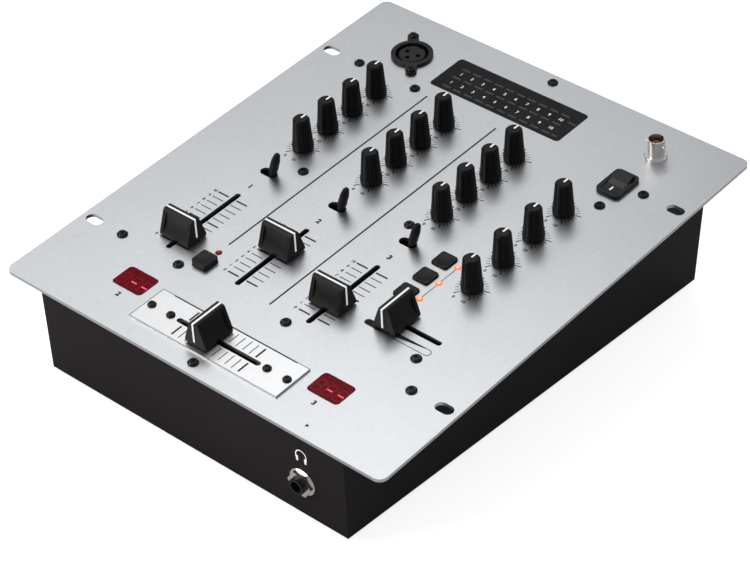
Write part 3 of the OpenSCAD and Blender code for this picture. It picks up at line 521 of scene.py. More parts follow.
class Stencil:
    """Flat marks on one surface, which become one thin printed piece."""

    def __init__(self, thickness: float = 0.05) -> None:
        """Starts an empty stencil.

        Args:
            thickness: How far the ink stands above its surface, in millimetres.
        """
        self.thickness = thickness
        self.parts: list[Piece] = []
        self.marks: list[tuple[float, float, float, float, float]] = []

    def bar(self, x: float, y: float, length: float, width: float, turn: float = 0.0) -> None:
        """Adds a straight mark.

        Args:
            x, y: Its middle, in millimetres.
            length: Its length.
            width: Its width.
            turn: The angle of its length from X, in degrees.
        """
        self.marks.append((x, y, length, width, turn))

    def line(self, start: Point, end: Point, width: float) -> None:
        """Adds a straight mark between two points.

        Args:
            start: One end, in millimetres.
            end: The other end.
            width: Its width.
        """
        run = Vector(end) - Vector(start)
        middle = (Vector(start) + Vector(end)) / 2
        self.bar(middle.x, middle.y, run.length, width, math.degrees(math.atan2(run.y, run.x)))

    def digits(self, text: str, x: float, y: float, height: float, bold: float = 0.0) -> None:
        """Adds plain numbers or signs, centred on a point.

        Args:
            text: The numbers.
            x, y: Their middle, in millimetres.
            height: The height of a digit.
            bold: How much each stroke is widened.
        """
        deselect_all()
        bpy.ops.object.text_add(location=ORIGIN)
        label = bpy.context.object
        label.data.body = text
        label.data.size = height / DIGIT_SHARE
        label.data.offset = bold
        label.data.resolution_u = 3
        label.data.align_x = "CENTER"
        bpy.ops.object.convert(target="MESH")
        label = bpy.context.object
        label.location = (x, y - height / 2, 0.0)
        apply_place()
        self.parts.append(label)

    def disc(
        self, x: float, y: float, radius: float, corners: int = 24, turn: float = 0.0
    ) -> None:
        """Adds a round or many-sided spot.

        Args:
            x, y: Its middle, in millimetres.
            radius: Its radius to the corners.
            corners: The number of its corners.
            turn: The angle by which it is turned, in degrees.
        """
        deselect_all()
        bpy.ops.mesh.primitive_circle_add(
            vertices=corners, radius=radius, fill_type="NGON", location=(x, y, 0.0),
            rotation=(0.0, 0.0, math.radians(turn)),
        )
        apply_place()
        self.parts.append(bpy.context.object)

    def arc(
        self, x: float, y: float, radius: float, turns: Point, width: float, steps: int = 8
    ) -> None:
        """Adds a bent line made of short straight marks.

        Args:
            x, y: The middle of its circle, in millimetres.
            radius: The circle's radius.
            turns: The angles at which it starts and ends, in degrees.
            width: Its width.
            steps: The number of straight marks.
        """
        points = []
        for step in range(steps + 1):
            angle = math.radians(turns[0] + (turns[1] - turns[0]) * step / steps)
            points.append((x + radius * math.cos(angle), y + radius * math.sin(angle)))
        for start, end in zip(points, points[1:]):
            self.line(start, end, width)

    def wedge(self, low: Point, high: Point, tip: float) -> None:
        """Adds a filled mark with a straight rear edge that narrows to the right.

        Args:
            low: Its front left corner, in millimetres.
            high: Its rear right corner.
            tip: The width of its right end.
        """
        deselect_all()
        wide, tall = high[0] - low[0], high[1] - low[1]
        middle = (low[0] + high[0]) / 2
        bpy.ops.mesh.primitive_plane_add(size=1.0)
        sheet = bpy.context.object
        bpy.ops.object.mode_set(mode="EDIT")
        bpy.ops.transform.resize(value=(wide, tall, 1.0))
        bpy.ops.transform.translate(value=(middle, low[1] + tall / 2, 0.0))
        bpy.ops.mesh.select_all(action="DESELECT")
        bpy.ops.object.mode_set(mode="OBJECT")
        for corner in sheet.data.vertices:
            corner.select = corner.co.x > middle
        bpy.ops.object.mode_set(mode="EDIT")
        bpy.ops.transform.resize(value=(1.0, tip / tall, 1.0), center_override=(*high, 0.0))
        bpy.ops.object.mode_set(mode="OBJECT")
        self.parts.append(sheet)

    def _add_marks(self) -> None:
        """Turns the straight marks into one mesh."""
        deselect_all()
        bpy.ops.mesh.primitive_plane_add(size=1.0)
        sheet = bpy.context.object
        bpy.ops.object.mode_set(mode="EDIT")
        for index, (x, y, length, width, turn) in enumerate(self.marks):
            if index:
                bpy.ops.mesh.select_all(action="DESELECT")
                bpy.ops.mesh.primitive_plane_add(size=1.0, location=ORIGIN)
            bpy.ops.transform.resize(value=(length, width, 1.0), center_override=ORIGIN)
            bpy.ops.transform.rotate(
                value=-math.radians(turn), orient_axis="Z", center_override=ORIGIN
            )
            bpy.ops.transform.translate(value=(x, y, 0.0))
        bpy.ops.object.mode_set(mode="OBJECT")
        self.parts.append(sheet)

    def press(self, frame: Matrix, height: float = 0.0) -> Piece:
        """Joins the marks, gives them thickness and moves them to their surface.

        Args:
            frame: Where the stencil's origin lies in the part's frame, in metres.
            height: The surface's height over that origin, in millimetres.

        Returns:
            The printed piece.
        """
        if self.marks:
            self._add_marks()
        piece = join(self.parts)
        buried = self.thickness * BURIED_SHARE
        thicken(piece, self.thickness + buried, 1.0)
        lift = Matrix.Translation((0.0, 0.0, height - buried))
        settle(piece, frame @ Matrix.Scale(MM, 4) @ lift)
        return piece


# ---- The faceplate's own coordinates --------------------------------------------------


class Faceplate:
    """Places on the faceplate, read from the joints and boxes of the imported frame."""

    def __init__(self, frame: Mapping[str, object]) -> None:
        """Works out the faceplate's tilt and origin.
        """
        self.joints = {joint["child"]: joint for joint in frame["joints"]}
        knob = self.joints["knob_ch1_gain"]
        normal = Vector(knob["axis"]).normalized()
        self.tilt = math.atan2(-normal.y, normal.z)
        turn = Matrix.Rotation(self.tilt, 4, "X")
        low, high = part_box("faceplate")
        middle = (low + high) / 2
        top = Vector(knob["pos_m"])
        origin = middle + normal * (top - middle).dot(normal)
        self.frame = Matrix.Translation((0.0, origin.y, origin.z)) @ turn
        self.inverse = self.frame.inverted()

    def plane(self) -> Triple:
        """The factors of Y and Z and the constant of a place's height over the faceplate."""
        row = self.inverse[2]
        return row[1], row[2], row[3]

    def points(self, node: str) -> list[Vector]:
        """The corners of a CAD node's mesh in the faceplate's frame, in millimetres."""
        mesh = bpy.data.objects[node].data
        return [self.inverse @ vertex.co / MM for vertex in mesh.vertices]

    def top(self, node: str) -> float:
        """The greatest height of a CAD node over the faceplate, in millimetres."""
        return max(point.z for point in self.points(node))

    def place(self, node: str) -> Vector:
        """The place of a turning piece's axis on the faceplate, in millimetres."""
        return self.inverse @ Vector(self.joints[node]["pos_m"]) / MM

    def middle(self, node: str) -> Vector:
        """The middle of a node's box on the faceplate, in millimetres."""
        low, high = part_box(node)
        return self.inverse @ ((low + high) / 2) / MM

    def travel(self, node: str) -> Point:
        """How far a sliding piece goes back and forth from rest, in millimetres."""
        low, high = self.joints[node]["range_m"]
        return low / MM, high / MM

    def stamp(
        self, stencil: Stencil, name: str, slot: str, finish: Material, height: float = 0.0
    ) -> None:
        """Presses a stencil on the faceplate, as a piece of the casing.

        Args:
            stencil: The marks.
            name: The piece's name.
            slot: The record's material slot; not used.
            finish: Its finish.
            height: Its surface's height over the faceplate, in millimetres.
        """
        finish_piece(stencil.press(self.frame, height), name, "casing", finish)


@dataclass
class Inks:
    """The inks and small finishes that several printed pieces share."""

    black: Material
    white: Material
    grey: Material


# ---- Printing on the faceplate --------------------------------------------------------


@dataclass
class Dials:
    """Scale marks round the rotary controls."""

    plate: Faceplate
    inks: Inks
    inner: float = 6.6
    outer: float = 8.7
    long: float = 1.3
    width: float = 0.32
    bold_width: float = 0.6
    sweep: float = 150.0
    steps: int = 20
    bold_step: int = 5
    number_radius: float = 11.3
    number_gaps: Point = (13.0, 15.0)  # Degrees past the ends of the scale
    number_height: float = 1.9
    number_bold: float = 0.08

    def build(self, nodes: Iterable[str]) -> None:
        """Prints a scale round each control.

        Args:
            nodes: The knobs' names.
        """
        stencil = Stencil()
        first = 90.0 + self.sweep + self.number_gaps[0]
        last = 90.0 - self.sweep - self.number_gaps[1]
        for node in nodes:
            spot = self.plate.place(node)
            for step in range(self.steps + 1):
                angle = 90.0 + self.sweep - step * 2 * self.sweep / self.steps
                bold = step % self.bold_step == 0
                outer = self.outer + (self.long if bold else 0.0)
                middle = (self.inner + outer) / 2
                stencil.bar(
                    spot.x + middle * math.cos(math.radians(angle)),
                    spot.y + middle * math.sin(math.radians(angle)),
                    outer - self.inner,
                    self.bold_width if bold else self.width,
                    angle,
                )
            for number, angle in (("0", first), ("10", last)):
                stencil.digits(
                    number,
                    spot.x + self.number_radius * math.cos(math.radians(angle)),
                    spot.y + self.number_radius * math.sin(math.radians(angle)),
                    self.number_height,
                    self.number_bold,
                )
        self.plate.stamp(stencil, "print_dials", "plate_aluminium", self.inks.black)


@dataclass
class FaderScales:
    """Scales along the channel faders, and the lines that part the channels."""

    plate: Faceplate
    inks: Inks
    caps: Sequence[str] = ("fader_cap_ch1", "fader_cap_ch2", "fader_cap_ch3")
    steps: int = 10
    left: Point = (-10.4, -3.1)  # Ends of its left marks, from the slot
    right: Point = (2.4, 10.0)  # Ends of its right marks
    width: float = 0.55
    bold_width: float = 1.0
    number_x: float = -12.6
    number_height: float = 1.8
    number_bold: float = 0.07

    def build(self) -> None:
        """Prints the scales."""
        stencil = Stencil()
        for cap in self.caps:
            self._scale(stencil, cap)
        self.plate.stamp(stencil, "print_fader_scales", "plate_aluminium", self.inks.black)

    def _scale(self, stencil: Stencil, cap: str) -> None:
        """Draws one fader's scale.

        Args:
            stencil: What it is drawn on.
            cap: The fader cap's node.
        """
        spot = self.plate.middle(cap)
        low, high = self.plate.travel(cap)
        pitch = (high - low) / self.steps
        for step in range(self.steps + 1):
            y = spot.y + low + step * pitch
            bold = step in (0, self.steps // 2, self.steps)
            width = self.bold_width if bold else self.width
            for start, end in (self.left, self.right):
                stencil.line((spot.x + start, y), (spot.x + end, y), width)
            x = spot.x + self.number_x
            stencil.digits(str(step), x, y, self.number_height, self.number_bold)


@dataclass
class PanelLines:
    """Dividing lines between the channels and the marks round the crossfader."""

    plate: Faceplate
    inks: Inks
    stencil: Stencil = field(default_factory=Stencil)
    # X, rear end and front end of each line
    dividers: Sequence[Triple] = ((-47.9, 94.4, -67.6), (0.5, 94.2, -89.9))
    width: float = 0.95
    # Rear and front ends of the marks on both sides of the crossfader's slot
    cross_rows: Sequence[Point] = ((-116.9, -124.4), (-129.9, -137.4))
    cross_width: float = 0.5
    cross_bold: float = 1.05
    cross_steps: int = 10
    cross_line: Point = (41.4, 0.8)  # Half length, width
    # Width of the painted shade line round the crossfader plate's edges
    rim_width: float = 0.3
    channel_number: Point = (-24.6, 3.3)  # Y, height
    number_bold: float = 0.2
    display_number: Triple = (66.3, -130.6, 3.0)  # X, Y, height
    lamp_line_x: float = 58.0
    cue_mix: tuple[float, float, float, float] = (46.6, 88.6, -69.5, 2.15)  # Left, right, Y, radius
    cue_wedge: Point = (54.0, 84.0)  # Start, tip
    thin: float = 0.4
    phones_mark: Triple = (74.1, -144.8, 1.3)  # X, Y, radius

    def build(self) -> None:
        """Prints the lines, the plain numbers and the crossfader's scale."""
        for x, rear, front in self.dividers:
            self.stencil.line((x, rear), (x, front), self.width)
        self._numbers()
        self._lamp_line()
        self._cue_mix()
        x, y, radius = self.phones_mark
        self.stencil.disc(x, y, radius, 3, 30.0)
        self.plate.stamp(self.stencil, "print_lines", "plate_aluminium", self.inks.black)
        self._crossfader()

    def _numbers(self) -> None:
        """Numbers the channels under their toggle switches, and the tempo displays."""
        y, height = self.channel_number
        for number in (1, 2, 3):
            x = self.plate.place(f"toggle_lever_ch{number}").x
            self.stencil.digits(str(number), x, y, height, self.number_bold)
        side, y, height = self.display_number
        for number, x in ((2, -side), (3, side)):
            self.stencil.digits(str(number), x, y, height, self.number_bold)

    def _lamp_line(self) -> None:
        """Joins the indicator lamps of the cue buttons by a thin line."""
        x = self.lamp_line_x
        rear = self.plate.middle("button_cue_ch1")
        front = self.plate.middle("button_cue_ch3")
        self.stencil.line((x, rear.y), (x, front.y), self.thin)

    def _cue_mix(self) -> None:
        """Draws the rounded scale under the cue mix fader, black where it is wide."""
        stencil = self.stencil
        left, right, y, radius = self.cue_mix
        start, tip = self.cue_wedge
        stencil.disc(left + radius, y, radius)
        stencil.bar((left + radius + start) / 2, y, start - left - radius, 2 * radius)
        stencil.wedge((start, y - radius), (tip, y + radius), self.thin)
        for edge in (-1, 1):
            side = y + edge * radius
            stencil.line((start, side), (right - radius, side), self.thin)
        stencil.arc(right - radius, y, radius, (-90.0, 90.0), self.thin)

    def _rims(self, stencil: Stencil) -> None:
        """Draws a dark line round the crossfader plate's edges, painted shade where its thin edge
        shows dark, and the bold line along its rear edge.

        Args:
            stencil: What they are drawn on.
        """
        points = self.plate.points("crossfader_plate")
        inset = self.rim_width / 2
        left = min(point.x for point in points) + inset
        right = max(point.x for point in points) - inset
        front = min(point.y for point in points) + inset
        rear = max(point.y for point in points) - inset
        # The outline round the plate is painted shade along its edges.
        for y in (front, rear):
            stencil.line((left, y), (right, y), self.rim_width)
        for x in (left, right):
            stencil.line((x, front), (x, rear), self.rim_width)
        half, width = self.cross_line
        y = rear + inset - width / 2
        stencil.line((-half, y), (half, y), width)

    def _crossfader(self) -> None:
        """Prints the marks on the crossfader's own plate."""
        stencil = Stencil()
        low, high = self.plate.travel("fader_cap_cross")
        spot = self.plate.middle("fader_cap_cross")
        for step in range(self.cross_steps + 1):
            x = spot.x + low + step * (high - low) / self.cross_steps
            bold = step in (0, self.cross_steps // 2, self.cross_steps)
            width = self.cross_bold if bold else self.cross_width
            for rear, front in self.cross_rows:
                stencil.line((x, rear), (x, front), width)
        self._rims(stencil)
        top = self.plate.top("crossfader_plate")
        self.plate.stamp(
            stencil, "print_crossfader", "fader_plate_aluminium", self.inks.black, top
        )


@dataclass
class FrontMark:
    """The headphones sign over the socket in the front wall."""

    plate: Faceplate
    inks: Inks
    height: float = -15.2
    radius: float = 3.3
    line: float = 0.6
    arm: Point = (2.4, -1.2)  # Length, Y
    cup: Point = (1.3, 3.4)  # Width, height
    cup_drop: float = 0.9

    def build(self) -> None:
        """Prints the sign."""
        socket = self.plate.middle("headphone_nut")
        wall = min(point.y for point in self.plate.points("chassis"))
        stencil = Stencil()
        stencil.arc(0.0, 0.0, self.radius, (0.0, 180.0), self.line, 14)
        length, arm_y = self.arm
        wide, tall = self.cup
        for side in (-1, 1):
            stencil.bar(side * self.radius, arm_y, length, self.line, 90.0)
            stencil.bar(
                side * (self.radius - wide / 2), -tall / 2 - self.cup_drop, wide, tall
            )
        spot = Matrix.Translation(Vector((socket.x, wall, self.height)) * MM)
        upright = Matrix.Rotation(math.radians(90.0), 4, "X")
        piece = stencil.press(self.plate.frame @ spot @ upright)
        finish_piece(piece, "print_front", "casing", self.inks.white)


# ---- Meter, displays and lamps --------------------------------------------------------


@dataclass
class Meter:
    """Light bars and scale numbers that show through the meter's dark window."""

    plate: Faceplate
    inks: Inks
    rows: Sequence[float] = (7.3, -1.3, -10.7)
    first: float = -35.5
    pitch: float = 7.7
    count: int = 10
    bar: Point = (5.5, 1.3)  # Length, width
    # X, Y and length of the bars at the ends of the rows
    end_bars: Sequence[Triple] = ((41.0, 3.4, 5.5), (39.5, -10.6, 3.5))
    number_rows: Sequence[float] = (3.0, -6.0)
    number_height: float = 2.2
    number_bold: float = 0.02

    def build(self) -> None:
        """Adds the bars and the numbers."""
        middle = self.plate.middle("meter_window")
        top = self.plate.top("meter_window")
        columns = [middle.x + self.first + index * self.pitch for index in range(self.count)]
        bars, numbers = Stencil(), Stencil()
        for y in self.rows:
            for x in columns:
                bars.bar(x, middle.y + y, *self.bar)
        for x, y, length in self.end_bars:
            bars.bar(middle.x + x, middle.y + y, length, self.bar[1])
        self.plate.stamp(bars, "meter_bars", "bar_grey", self.inks.grey, top)
        for y in self.number_rows:
            for number, x in enumerate(columns, 1):
                numbers.digits(
                    str(number), x, middle.y + y, self.number_height, self.number_bold
                )
        self.plate.stamp(numbers, "print_meter", "window_smoke", self.inks.white, top)


@dataclass
class TempoDisplays:
    """Seven-segment digits that show through the red windows."""

    plate: Faceplate
    from_edge: float = 11.75
    digit_pitch: float = 7.0
    digit: Point = (4.4, 8.0)  # Width, height
    stroke: float = 0.85
    slant: float = 0.12
    drop: float = 1.2
    lit: Sequence[bool] = (False, True, True)

    def build(self) -> None:
        """Adds three digits to each display, with the middle segment of two of them lit and a faint
        painted glow on the unlit segments.
        """
        lit = Glowing("segments_lit", (0.8, 0.06, 0.09), (1.0, 0.10, 0.17), 0.9)
        # The unlit segments have a faint painted glow, though they are not lit.
        dim = Glowing("segments_dim_painted_glow", (0.13, 0.002, 0.006), (0.30, 0.006, 0.016), 0.3)
        low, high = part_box("display_windows")
        half = (high.x - low.x) / 2 / MM
        y = self.plate.middle("display_windows").y - self.drop
        on, off = Stencil(), Stencil()
        for side in (-1, 1):
            middle = side * (half - self.from_edge)
            for index, lit_here in enumerate(self.lit):
                x = middle + (index - 1) * self.digit_pitch
                self._digit(on if lit_here else off, off, x, y)
        top = self.plate.top("display_windows")
        for stencil, finish in ((on, lit), (off, dim)):
            self.plate.stamp(stencil, finish.name, "digit_red", finish.material(), top)

    def _digit(self, on: Stencil, off: Stencil, x: float, y: float) -> None:
        """Draws one digit.

        Args:
            on: Where its middle segment goes.
            off: Where its other segments go.
            x, y: Its middle, in millimetres.
        """
        wide, tall = self.digit
        on.bar(x, y, wide - self.stroke, self.stroke)
        for end in (-1, 1):
            lean = self.slant * end * tall / 2
            off.bar(x + lean, y + end * tall / 2, wide - self.stroke, self.stroke)
            for side in (-1, 1):
                edge = x + side * wide / 2
                start = (edge, y + end * self.stroke / 2)
                tip = (edge + lean, y + end * (tall - self.stroke) / 2)
                off.line(start, tip, self.stroke)


@dataclass
class LampRims:
    """Collars round the indicator lenses: a painted halo round the lit lenses and a faint painted
    glow round the dark one.
    """

    plate: Faceplate
    inner: float = 1.5
    outer: float = 1.95

    def build(self) -> None:
        """Adds a collar with a painted halo round each lit lens, and one with a faint painted glow
        round the dark one.
        """
        # Both collars give off light though they are no lamp: painted halo and painted glow.
        lit = Glowing("lamp_collar_painted_halo", (0.9, 0.28, 0.13), (0.95, 0.27, 0.10), 0.7)
        off = Glowing("lamp_collar_dark_painted_glow", (0.45, 0.03, 0.02), (0.5, 0.03, 0.02), 0.25)
        talk = [spot for spot in self._places() if spot.x < 0.0]
        cue = [spot for spot in self._places() if spot.x > 0.0]
        for name, spots, finish in (("collars_cue", cue, lit), ("collar_talk", talk, off)):
            collars = self._collars(spots)
            finish_piece(collars, name, "casing", finish.material())

    def _places(self) -> list[Vector]:
        """The middles of the lenses on the faceplate, in millimetres."""
        crown = self.plate.top("indicator_leds") - NEAR / 10
        return [point for point in self.plate.points("indicator_leds") if point.z > crown]

    def _collars(self, spots: Sequence[Vector]) -> Piece:
        """Models rounded collars.

        Args:
            spots: Where they sit on the faceplate.

        Returns:
            All of them as one piece.
        """
        deselect_all()
        radius = (self.inner + self.outer) / 2
        rings = []
        for spot in spots:
            bpy.ops.mesh.primitive_torus_add(
                location=(spot.x, spot.y, 0.0), major_radius=radius,
                minor_radius=self.outer - radius, major_segments=28, minor_segments=8,
            )
            rings.append(bpy.context.object)
        collars = join(rings)
        apply_place()
        settle(collars, self.plate.frame @ Matrix.Scale(MM, 4))
        return collars


# ---- The moving controls ---------------------------------------------------------------


@dataclass
class ToggleLevers:
    """Bat-shaped toggle levers with a wide belly, a narrow tip and flattened sides."""

    plate: Faceplate
    finish: Material
    angle: float = 17.0
    # Height over the pivot and radius of each ring of the lever
    rings: Sequence[Point] = (
        (0.0, 1.5), (7.6, 2.3), (13.0, 2.95), (19.4, 2.85), (23.9, 2.0), (25.0, 1.2)
    )
    corners: int = 10
    flat: float = 0.84
    edge: Point = (0.22, 24.0)  # Bevel width, least angle in degrees
    barrel: Point = (2.0, 5.4)  # Radius, length

    def build(self, node: str) -> None:
        """Models one lever in the place of its plain solid.

        Args:
            node: The lever's node.
        """
        bat = join([self._bat(), self._barrel()])
        lean = Matrix.Rotation(math.radians(self.angle), 4, "Y")
        pivot = Matrix.Translation(self.plate.place(node) * MM)
        settle(bat, self.plate.frame @ pivot @ lean @ Matrix.Scale(MM, 4))
        name = node.replace("toggle_lever", "bat")
        finish_piece(bat, name, node, self.finish)
        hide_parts(node)

    def _bat(self) -> Piece:
        """Draws the lever up from its pivot, ring by ring."""
        deselect_all()
        height, radius = self.rings[0]
        bpy.ops.mesh.primitive_circle_add(
            vertices=self.corners, radius=radius, fill_type="NGON"
        )
        bat = bpy.context.object
        bpy.ops.object.mode_set(mode="EDIT")
        bpy.ops.mesh.select_all(action="SELECT")
        for next_height, next_radius in self.rings[1:]:
            step = (0.0, 0.0, next_height - height)
            bpy.ops.mesh.extrude_region_move(TRANSFORM_OT_translate={"value": step})
            ratio = next_radius / radius
            bpy.ops.transform.resize(value=(ratio, ratio, 1.0), center_override=ORIGIN)
            height, radius = next_height, next_radius
        bpy.ops.mesh.select_all(action="SELECT")
        bpy.ops.transform.resize(value=(self.flat, 1.0, 1.0), center_override=ORIGIN)
        bpy.ops.mesh.normals_make_consistent(inside=False)
        bpy.ops.object.mode_set(mode="OBJECT")
        edge = bat.modifiers.new("edge", "BEVEL")
        edge.width = self.edge[0]
        edge.segments = 2
        edge.limit_method = "ANGLE"
        edge.angle_limit = math.radians(self.edge[1])
        apply_modifiers(bat)
        return bat

    def _barrel(self) -> Piece:
        """Adds the barrel on which the lever turns."""
        deselect_all()
        radius, length = self.barrel
        bpy.ops.mesh.primitive_cylinder_add(
            vertices=24, radius=radius, depth=length,
            rotation=(math.radians(90.0), 0.0, 0.0),
        )
        apply_place()
        return bpy.context.object


@dataclass
class Pointers:
    """White marks on the knobs, the fader caps and the power rocker."""

    plate: Faceplate
    inks: Inks
    ink: float = 0.03
    knob_start: float = 0.2
    knob_line: float = 1.0
    cap_line: float = 1.15
    cap_drop: float = 11.8
    rocker_mark: Triple = (-3.4, 3.4, 0.9)  # Place along the slope, length, width
    rocker_pivot: float = 0.6
    rocker_turn: float = 10.0
    rocker_dip: Point = (2.0, 1.4)  # Start of the slope: distance from the pivot, height
    rocker_tip: Point = (8.3, 3.0)  # Its end

    def knob(self, node: str) -> None:
        """Prints the pointer on a knob's top.

        Args:
            node: The knob's name.
        """
        spot = self.plate.place(node)
        points = self.plate.points(node)
        top = self.plate.top(node)
        reach = max(point.y for point in points if point.z > top - NEAR)
        stencil = Stencil(self.ink)
        stencil.line((spot.x, spot.y + self.knob_start), (spot.x, reach), self.knob_line)
        piece = stencil.press(self.plate.frame, top)
        name = node.replace("knob", "pointer")
        finish_piece(piece, name, node, self.inks.white)

    def cap(self, node: str, lean: Lean) -> None:
        """Prints the line over a fader cap's ridge and down both of its ends.

        Args:
            node: The fader cap's name.
            lean: The direction in which it slides.
        """
        middle = self.plate.middle(node)
        points = self.plate.points(node)
        top = self.plate.top(node)
        ridge = [point - middle for point in points if point.z > top - NEAR]
        edge = max(point.y if lean is Lean.ALONG_X else point.x for point in ridge)
        strip = self._strip(edge, top)
        turn = Matrix.Rotation(math.radians(lean.value), 4, "Z")
        shift = Matrix.Translation((middle.x, middle.y, 0.0))
        settle(strip, self.plate.frame @ Matrix.Scale(MM, 4) @ shift @ turn)
        name = node.replace("fader_cap", "cap_line")
        finish_piece(strip, name, node, self.inks.white)

    def _strip(self, edge: float, top: float) -> Piece:
        """Models a line that is folded down over both ends of a cap.

        Args:
            edge: Half the length of the cap's ridge, in millimetres.
            top: The ridge's height over the faceplate.

        Returns:
            The line, across the middle of a cap that slides along Y.
        """
        deselect_all()
        bpy.ops.mesh.primitive_plane_add(size=1.0)
        strip = bpy.context.object
        bpy.ops.object.mode_set(mode="EDIT")
        bpy.ops.mesh.select_mode(type="EDGE")
        bpy.ops.transform.resize(value=(2 * edge, self.cap_line, 1.0))
        bpy.ops.transform.translate(value=(0.0, 0.0, top))
        for side in (-1, 1):
            bpy.ops.mesh.select_all(action="DESELECT")
            bpy.ops.object.mode_set(mode="OBJECT")
            for line in strip.data.edges:
                ends = [strip.data.vertices[index].co for index in line.vertices]
                line.select = all(abs(co.x - side * edge) < NEAR for co in ends)
            bpy.ops.object.mode_set(mode="EDIT")
            step = (0.0, 0.0, -self.cap_drop)
            bpy.ops.mesh.extrude_region_move(TRANSFORM_OT_translate={"value": step})
        bpy.ops.mesh.select_all(action="SELECT")
        bpy.ops.mesh.normals_make_consistent(inside=False)
        bpy.ops.mesh.select_mode(type="VERT")
        bpy.ops.object.mode_set(mode="OBJECT")
        thicken(strip, 2 * self.ink, 0.0)
        return strip

    def rocker(self) -> None:
        """Prints a stroke on the front half of the power rocker."""
        node = "power_rocker"
        spot = self.plate.place(node)
        place, length, width = self.rocker_mark
        stencil = Stencil(self.ink)
        stencil.bar(0.0, place, length, width, 90.0)
        run, climb = Vector(self.rocker_tip) - Vector(self.rocker_dip)
        pivot = Matrix.Translation(Vector((spot.x, spot.y, self.rocker_pivot)) * MM)
        turn = Matrix.Rotation(math.radians(self.rocker_turn), 4, "X")
        dip = Matrix.Translation(Vector((0.0, -self.rocker_dip[0], self.rocker_dip[1])) * MM)
        slope = Matrix.Rotation(-math.atan2(climb, run), 4, "X")
        piece = stencil.press(self.plate.frame @ pivot @ turn @ dip @ slope)
        finish_piece(piece, "rocker_mark", node, self.inks.white)


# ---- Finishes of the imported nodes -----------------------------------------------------


class Wardrobe:
    """Dresses the CAD nodes that keep their shape."""

    def __init__(self, plate: Faceplate) -> None:
        """Lists the finishes, each with the names of its nodes.

        Args:
            plate: The faceplate, whose tilt the brushing follows.
        """
        self.knob = moulded("knob_black", grey(0.0025), grey(0.006), 0.36, shine=0.20)
        self.control = moulded("control_black", grey(0.006), grey(0.012), 0.42, shine=0.22)
        self.outfits = (
            (brushed(
                "brushed_plate", (0.58, 0.60, 0.62), (0.69, 0.71, 0.735), 0.40, tilt=-plate.tilt
            ), "faceplate"),
            (brushed(
                "brushed_fader_plate", (0.68, 0.69, 0.70), (0.79, 0.80, 0.81), 0.38,
                tilt=-plate.tilt,
            ), "crossfader_plate"),
            (painted(
                "body_paint", (0.0205, 0.0180, 0.0200), (0.0320, 0.0285, 0.0310), 0.5
            ), "chassis rear_panel"),
            (painted(
                "screw_black", grey(0.007), grey(0.014), 0.28, fine=2400.0, shine=0.3
            ), "faceplate_screws small_screws"),
            (moulded("foot_rubber", grey(0.012), grey(0.022), 0.75), "rubber_feet"),
            (moulded(
                "socket_black", (0.006, 0.006, 0.007), (0.012, 0.012, 0.013), 0.38, shine=0.3
            ), "mic_socket_shell mic_socket_insert power_switch_frame headphone_jack "
               "fader_tracks toggle_bodies button_switches mains_inlet"),
            (moulded(
                "rocker_black", (0.014, 0.014, 0.015), (0.024, 0.024, 0.025), 0.36, shine=0.3
            ), "power_rocker"),
            (moulded("bar_grey", (0.10, 0.10, 0.11), (0.13, 0.13, 0.14), 0.5), "meter_leds"),
            (moulded(
                "insulator_white", (0.55, 0.54, 0.50), (0.66, 0.65, 0.61), 0.45
            ), "phono_insulators"),
            (moulded(
                "lamp_core", (0.20, 0.11, 0.05), (0.30, 0.18, 0.09), 0.5
            ), "lamp_socket_core"),
            (moulded(
                "board_green", (0.010, 0.075, 0.030), (0.018, 0.11, 0.045), 0.35
            ), "control_board input_board"),
            (moulded(
                "winding_yellow", (0.32, 0.22, 0.05), (0.45, 0.33, 0.09), 0.5
            ), "power_supply"),
            (window(
                "window_smoke", (0.012, 0.012, 0.014), (0.018, 0.018, 0.020), 0.3
            ), "meter_window"),
            # The red windows and display modules have a faint painted glow of their own, though
            # they are no lamp.
            (window(
                "window_red", (0.04, 0.001, 0.002), (0.15, 0.003, 0.008), 0.25,
                glow=0.40, fine=700.0, shine=0.04,
            ), "display_windows display_modules"),
            (plated(
                "nickel", (0.86, 0.84, 0.81), (0.97, 0.95, 0.92), 0.24
            ), "lamp_socket_shell headphone_nut phono_barrels ground_posts"),
            (plated(
                "track_steel", (0.42, 0.43, 0.45), (0.58, 0.59, 0.61), 0.42
            ), "potentiometers"),
            (plated(
                "spacer_brass", (0.55, 0.46, 0.24), (0.68, 0.58, 0.33), 0.35
            ), "board_standoffs"),
            (LampLenses(
                "lamp_lenses", (0.30, 0.02, 0.015), (0.80, 0.14, 0.03), (1.0, 0.80, 0.60),
                plate.plane(),
            ), "indicator_leds"),
        )

    def dress(self, nodes: Mapping[str, Piece]) -> None:
        """Gives every CAD node its finish.

        Args:
            nodes: The frame's nodes.
        """
        outfits = [(finish, names.split()) for finish, names in self.outfits]
        outfits.append((self.knob, [name for name in nodes if name.startswith("knob_")]))
        dressed = {name for _, names in outfits for name in names}
        outfits.append((self.control, [name for name in nodes if name not in dressed]))
        for finish, names in outfits:
            material = finish.material()
            for name in names:
                slots = nodes[name].data.materials
                slots.clear()
                slots.append(material)
                LOG.info("%s is dressed in %s", name, material.name)


# ---- Studio ---------------------------------------------------------------------------


@dataclass(frozen=True)
class Lamp:
    """A square soft box that faces the object; its place and side are in metres."""

    name: str
    place: Triple
    side: float
    watts: float
    colour: Colour = (1.0, 1.0, 1.0)

    def hang(self) -> None:
        """Adds the lamp to the scene."""
        light = bpy.data.lights.new(self.name, "AREA")
        light.size = self.side
        light.energy = self.watts
        light.color = self.colour
        lamp = bpy.data.objects.new(self.name, light)
        bpy.context.scene.collection.objects.link(lamp)
        lamp.location = self.place
        aim = Vector((0.0, 0.0, 0.05)) - Vector(self.place)
        lamp.rotation_euler = aim.to_track_quat("-Z", "Y").to_euler()


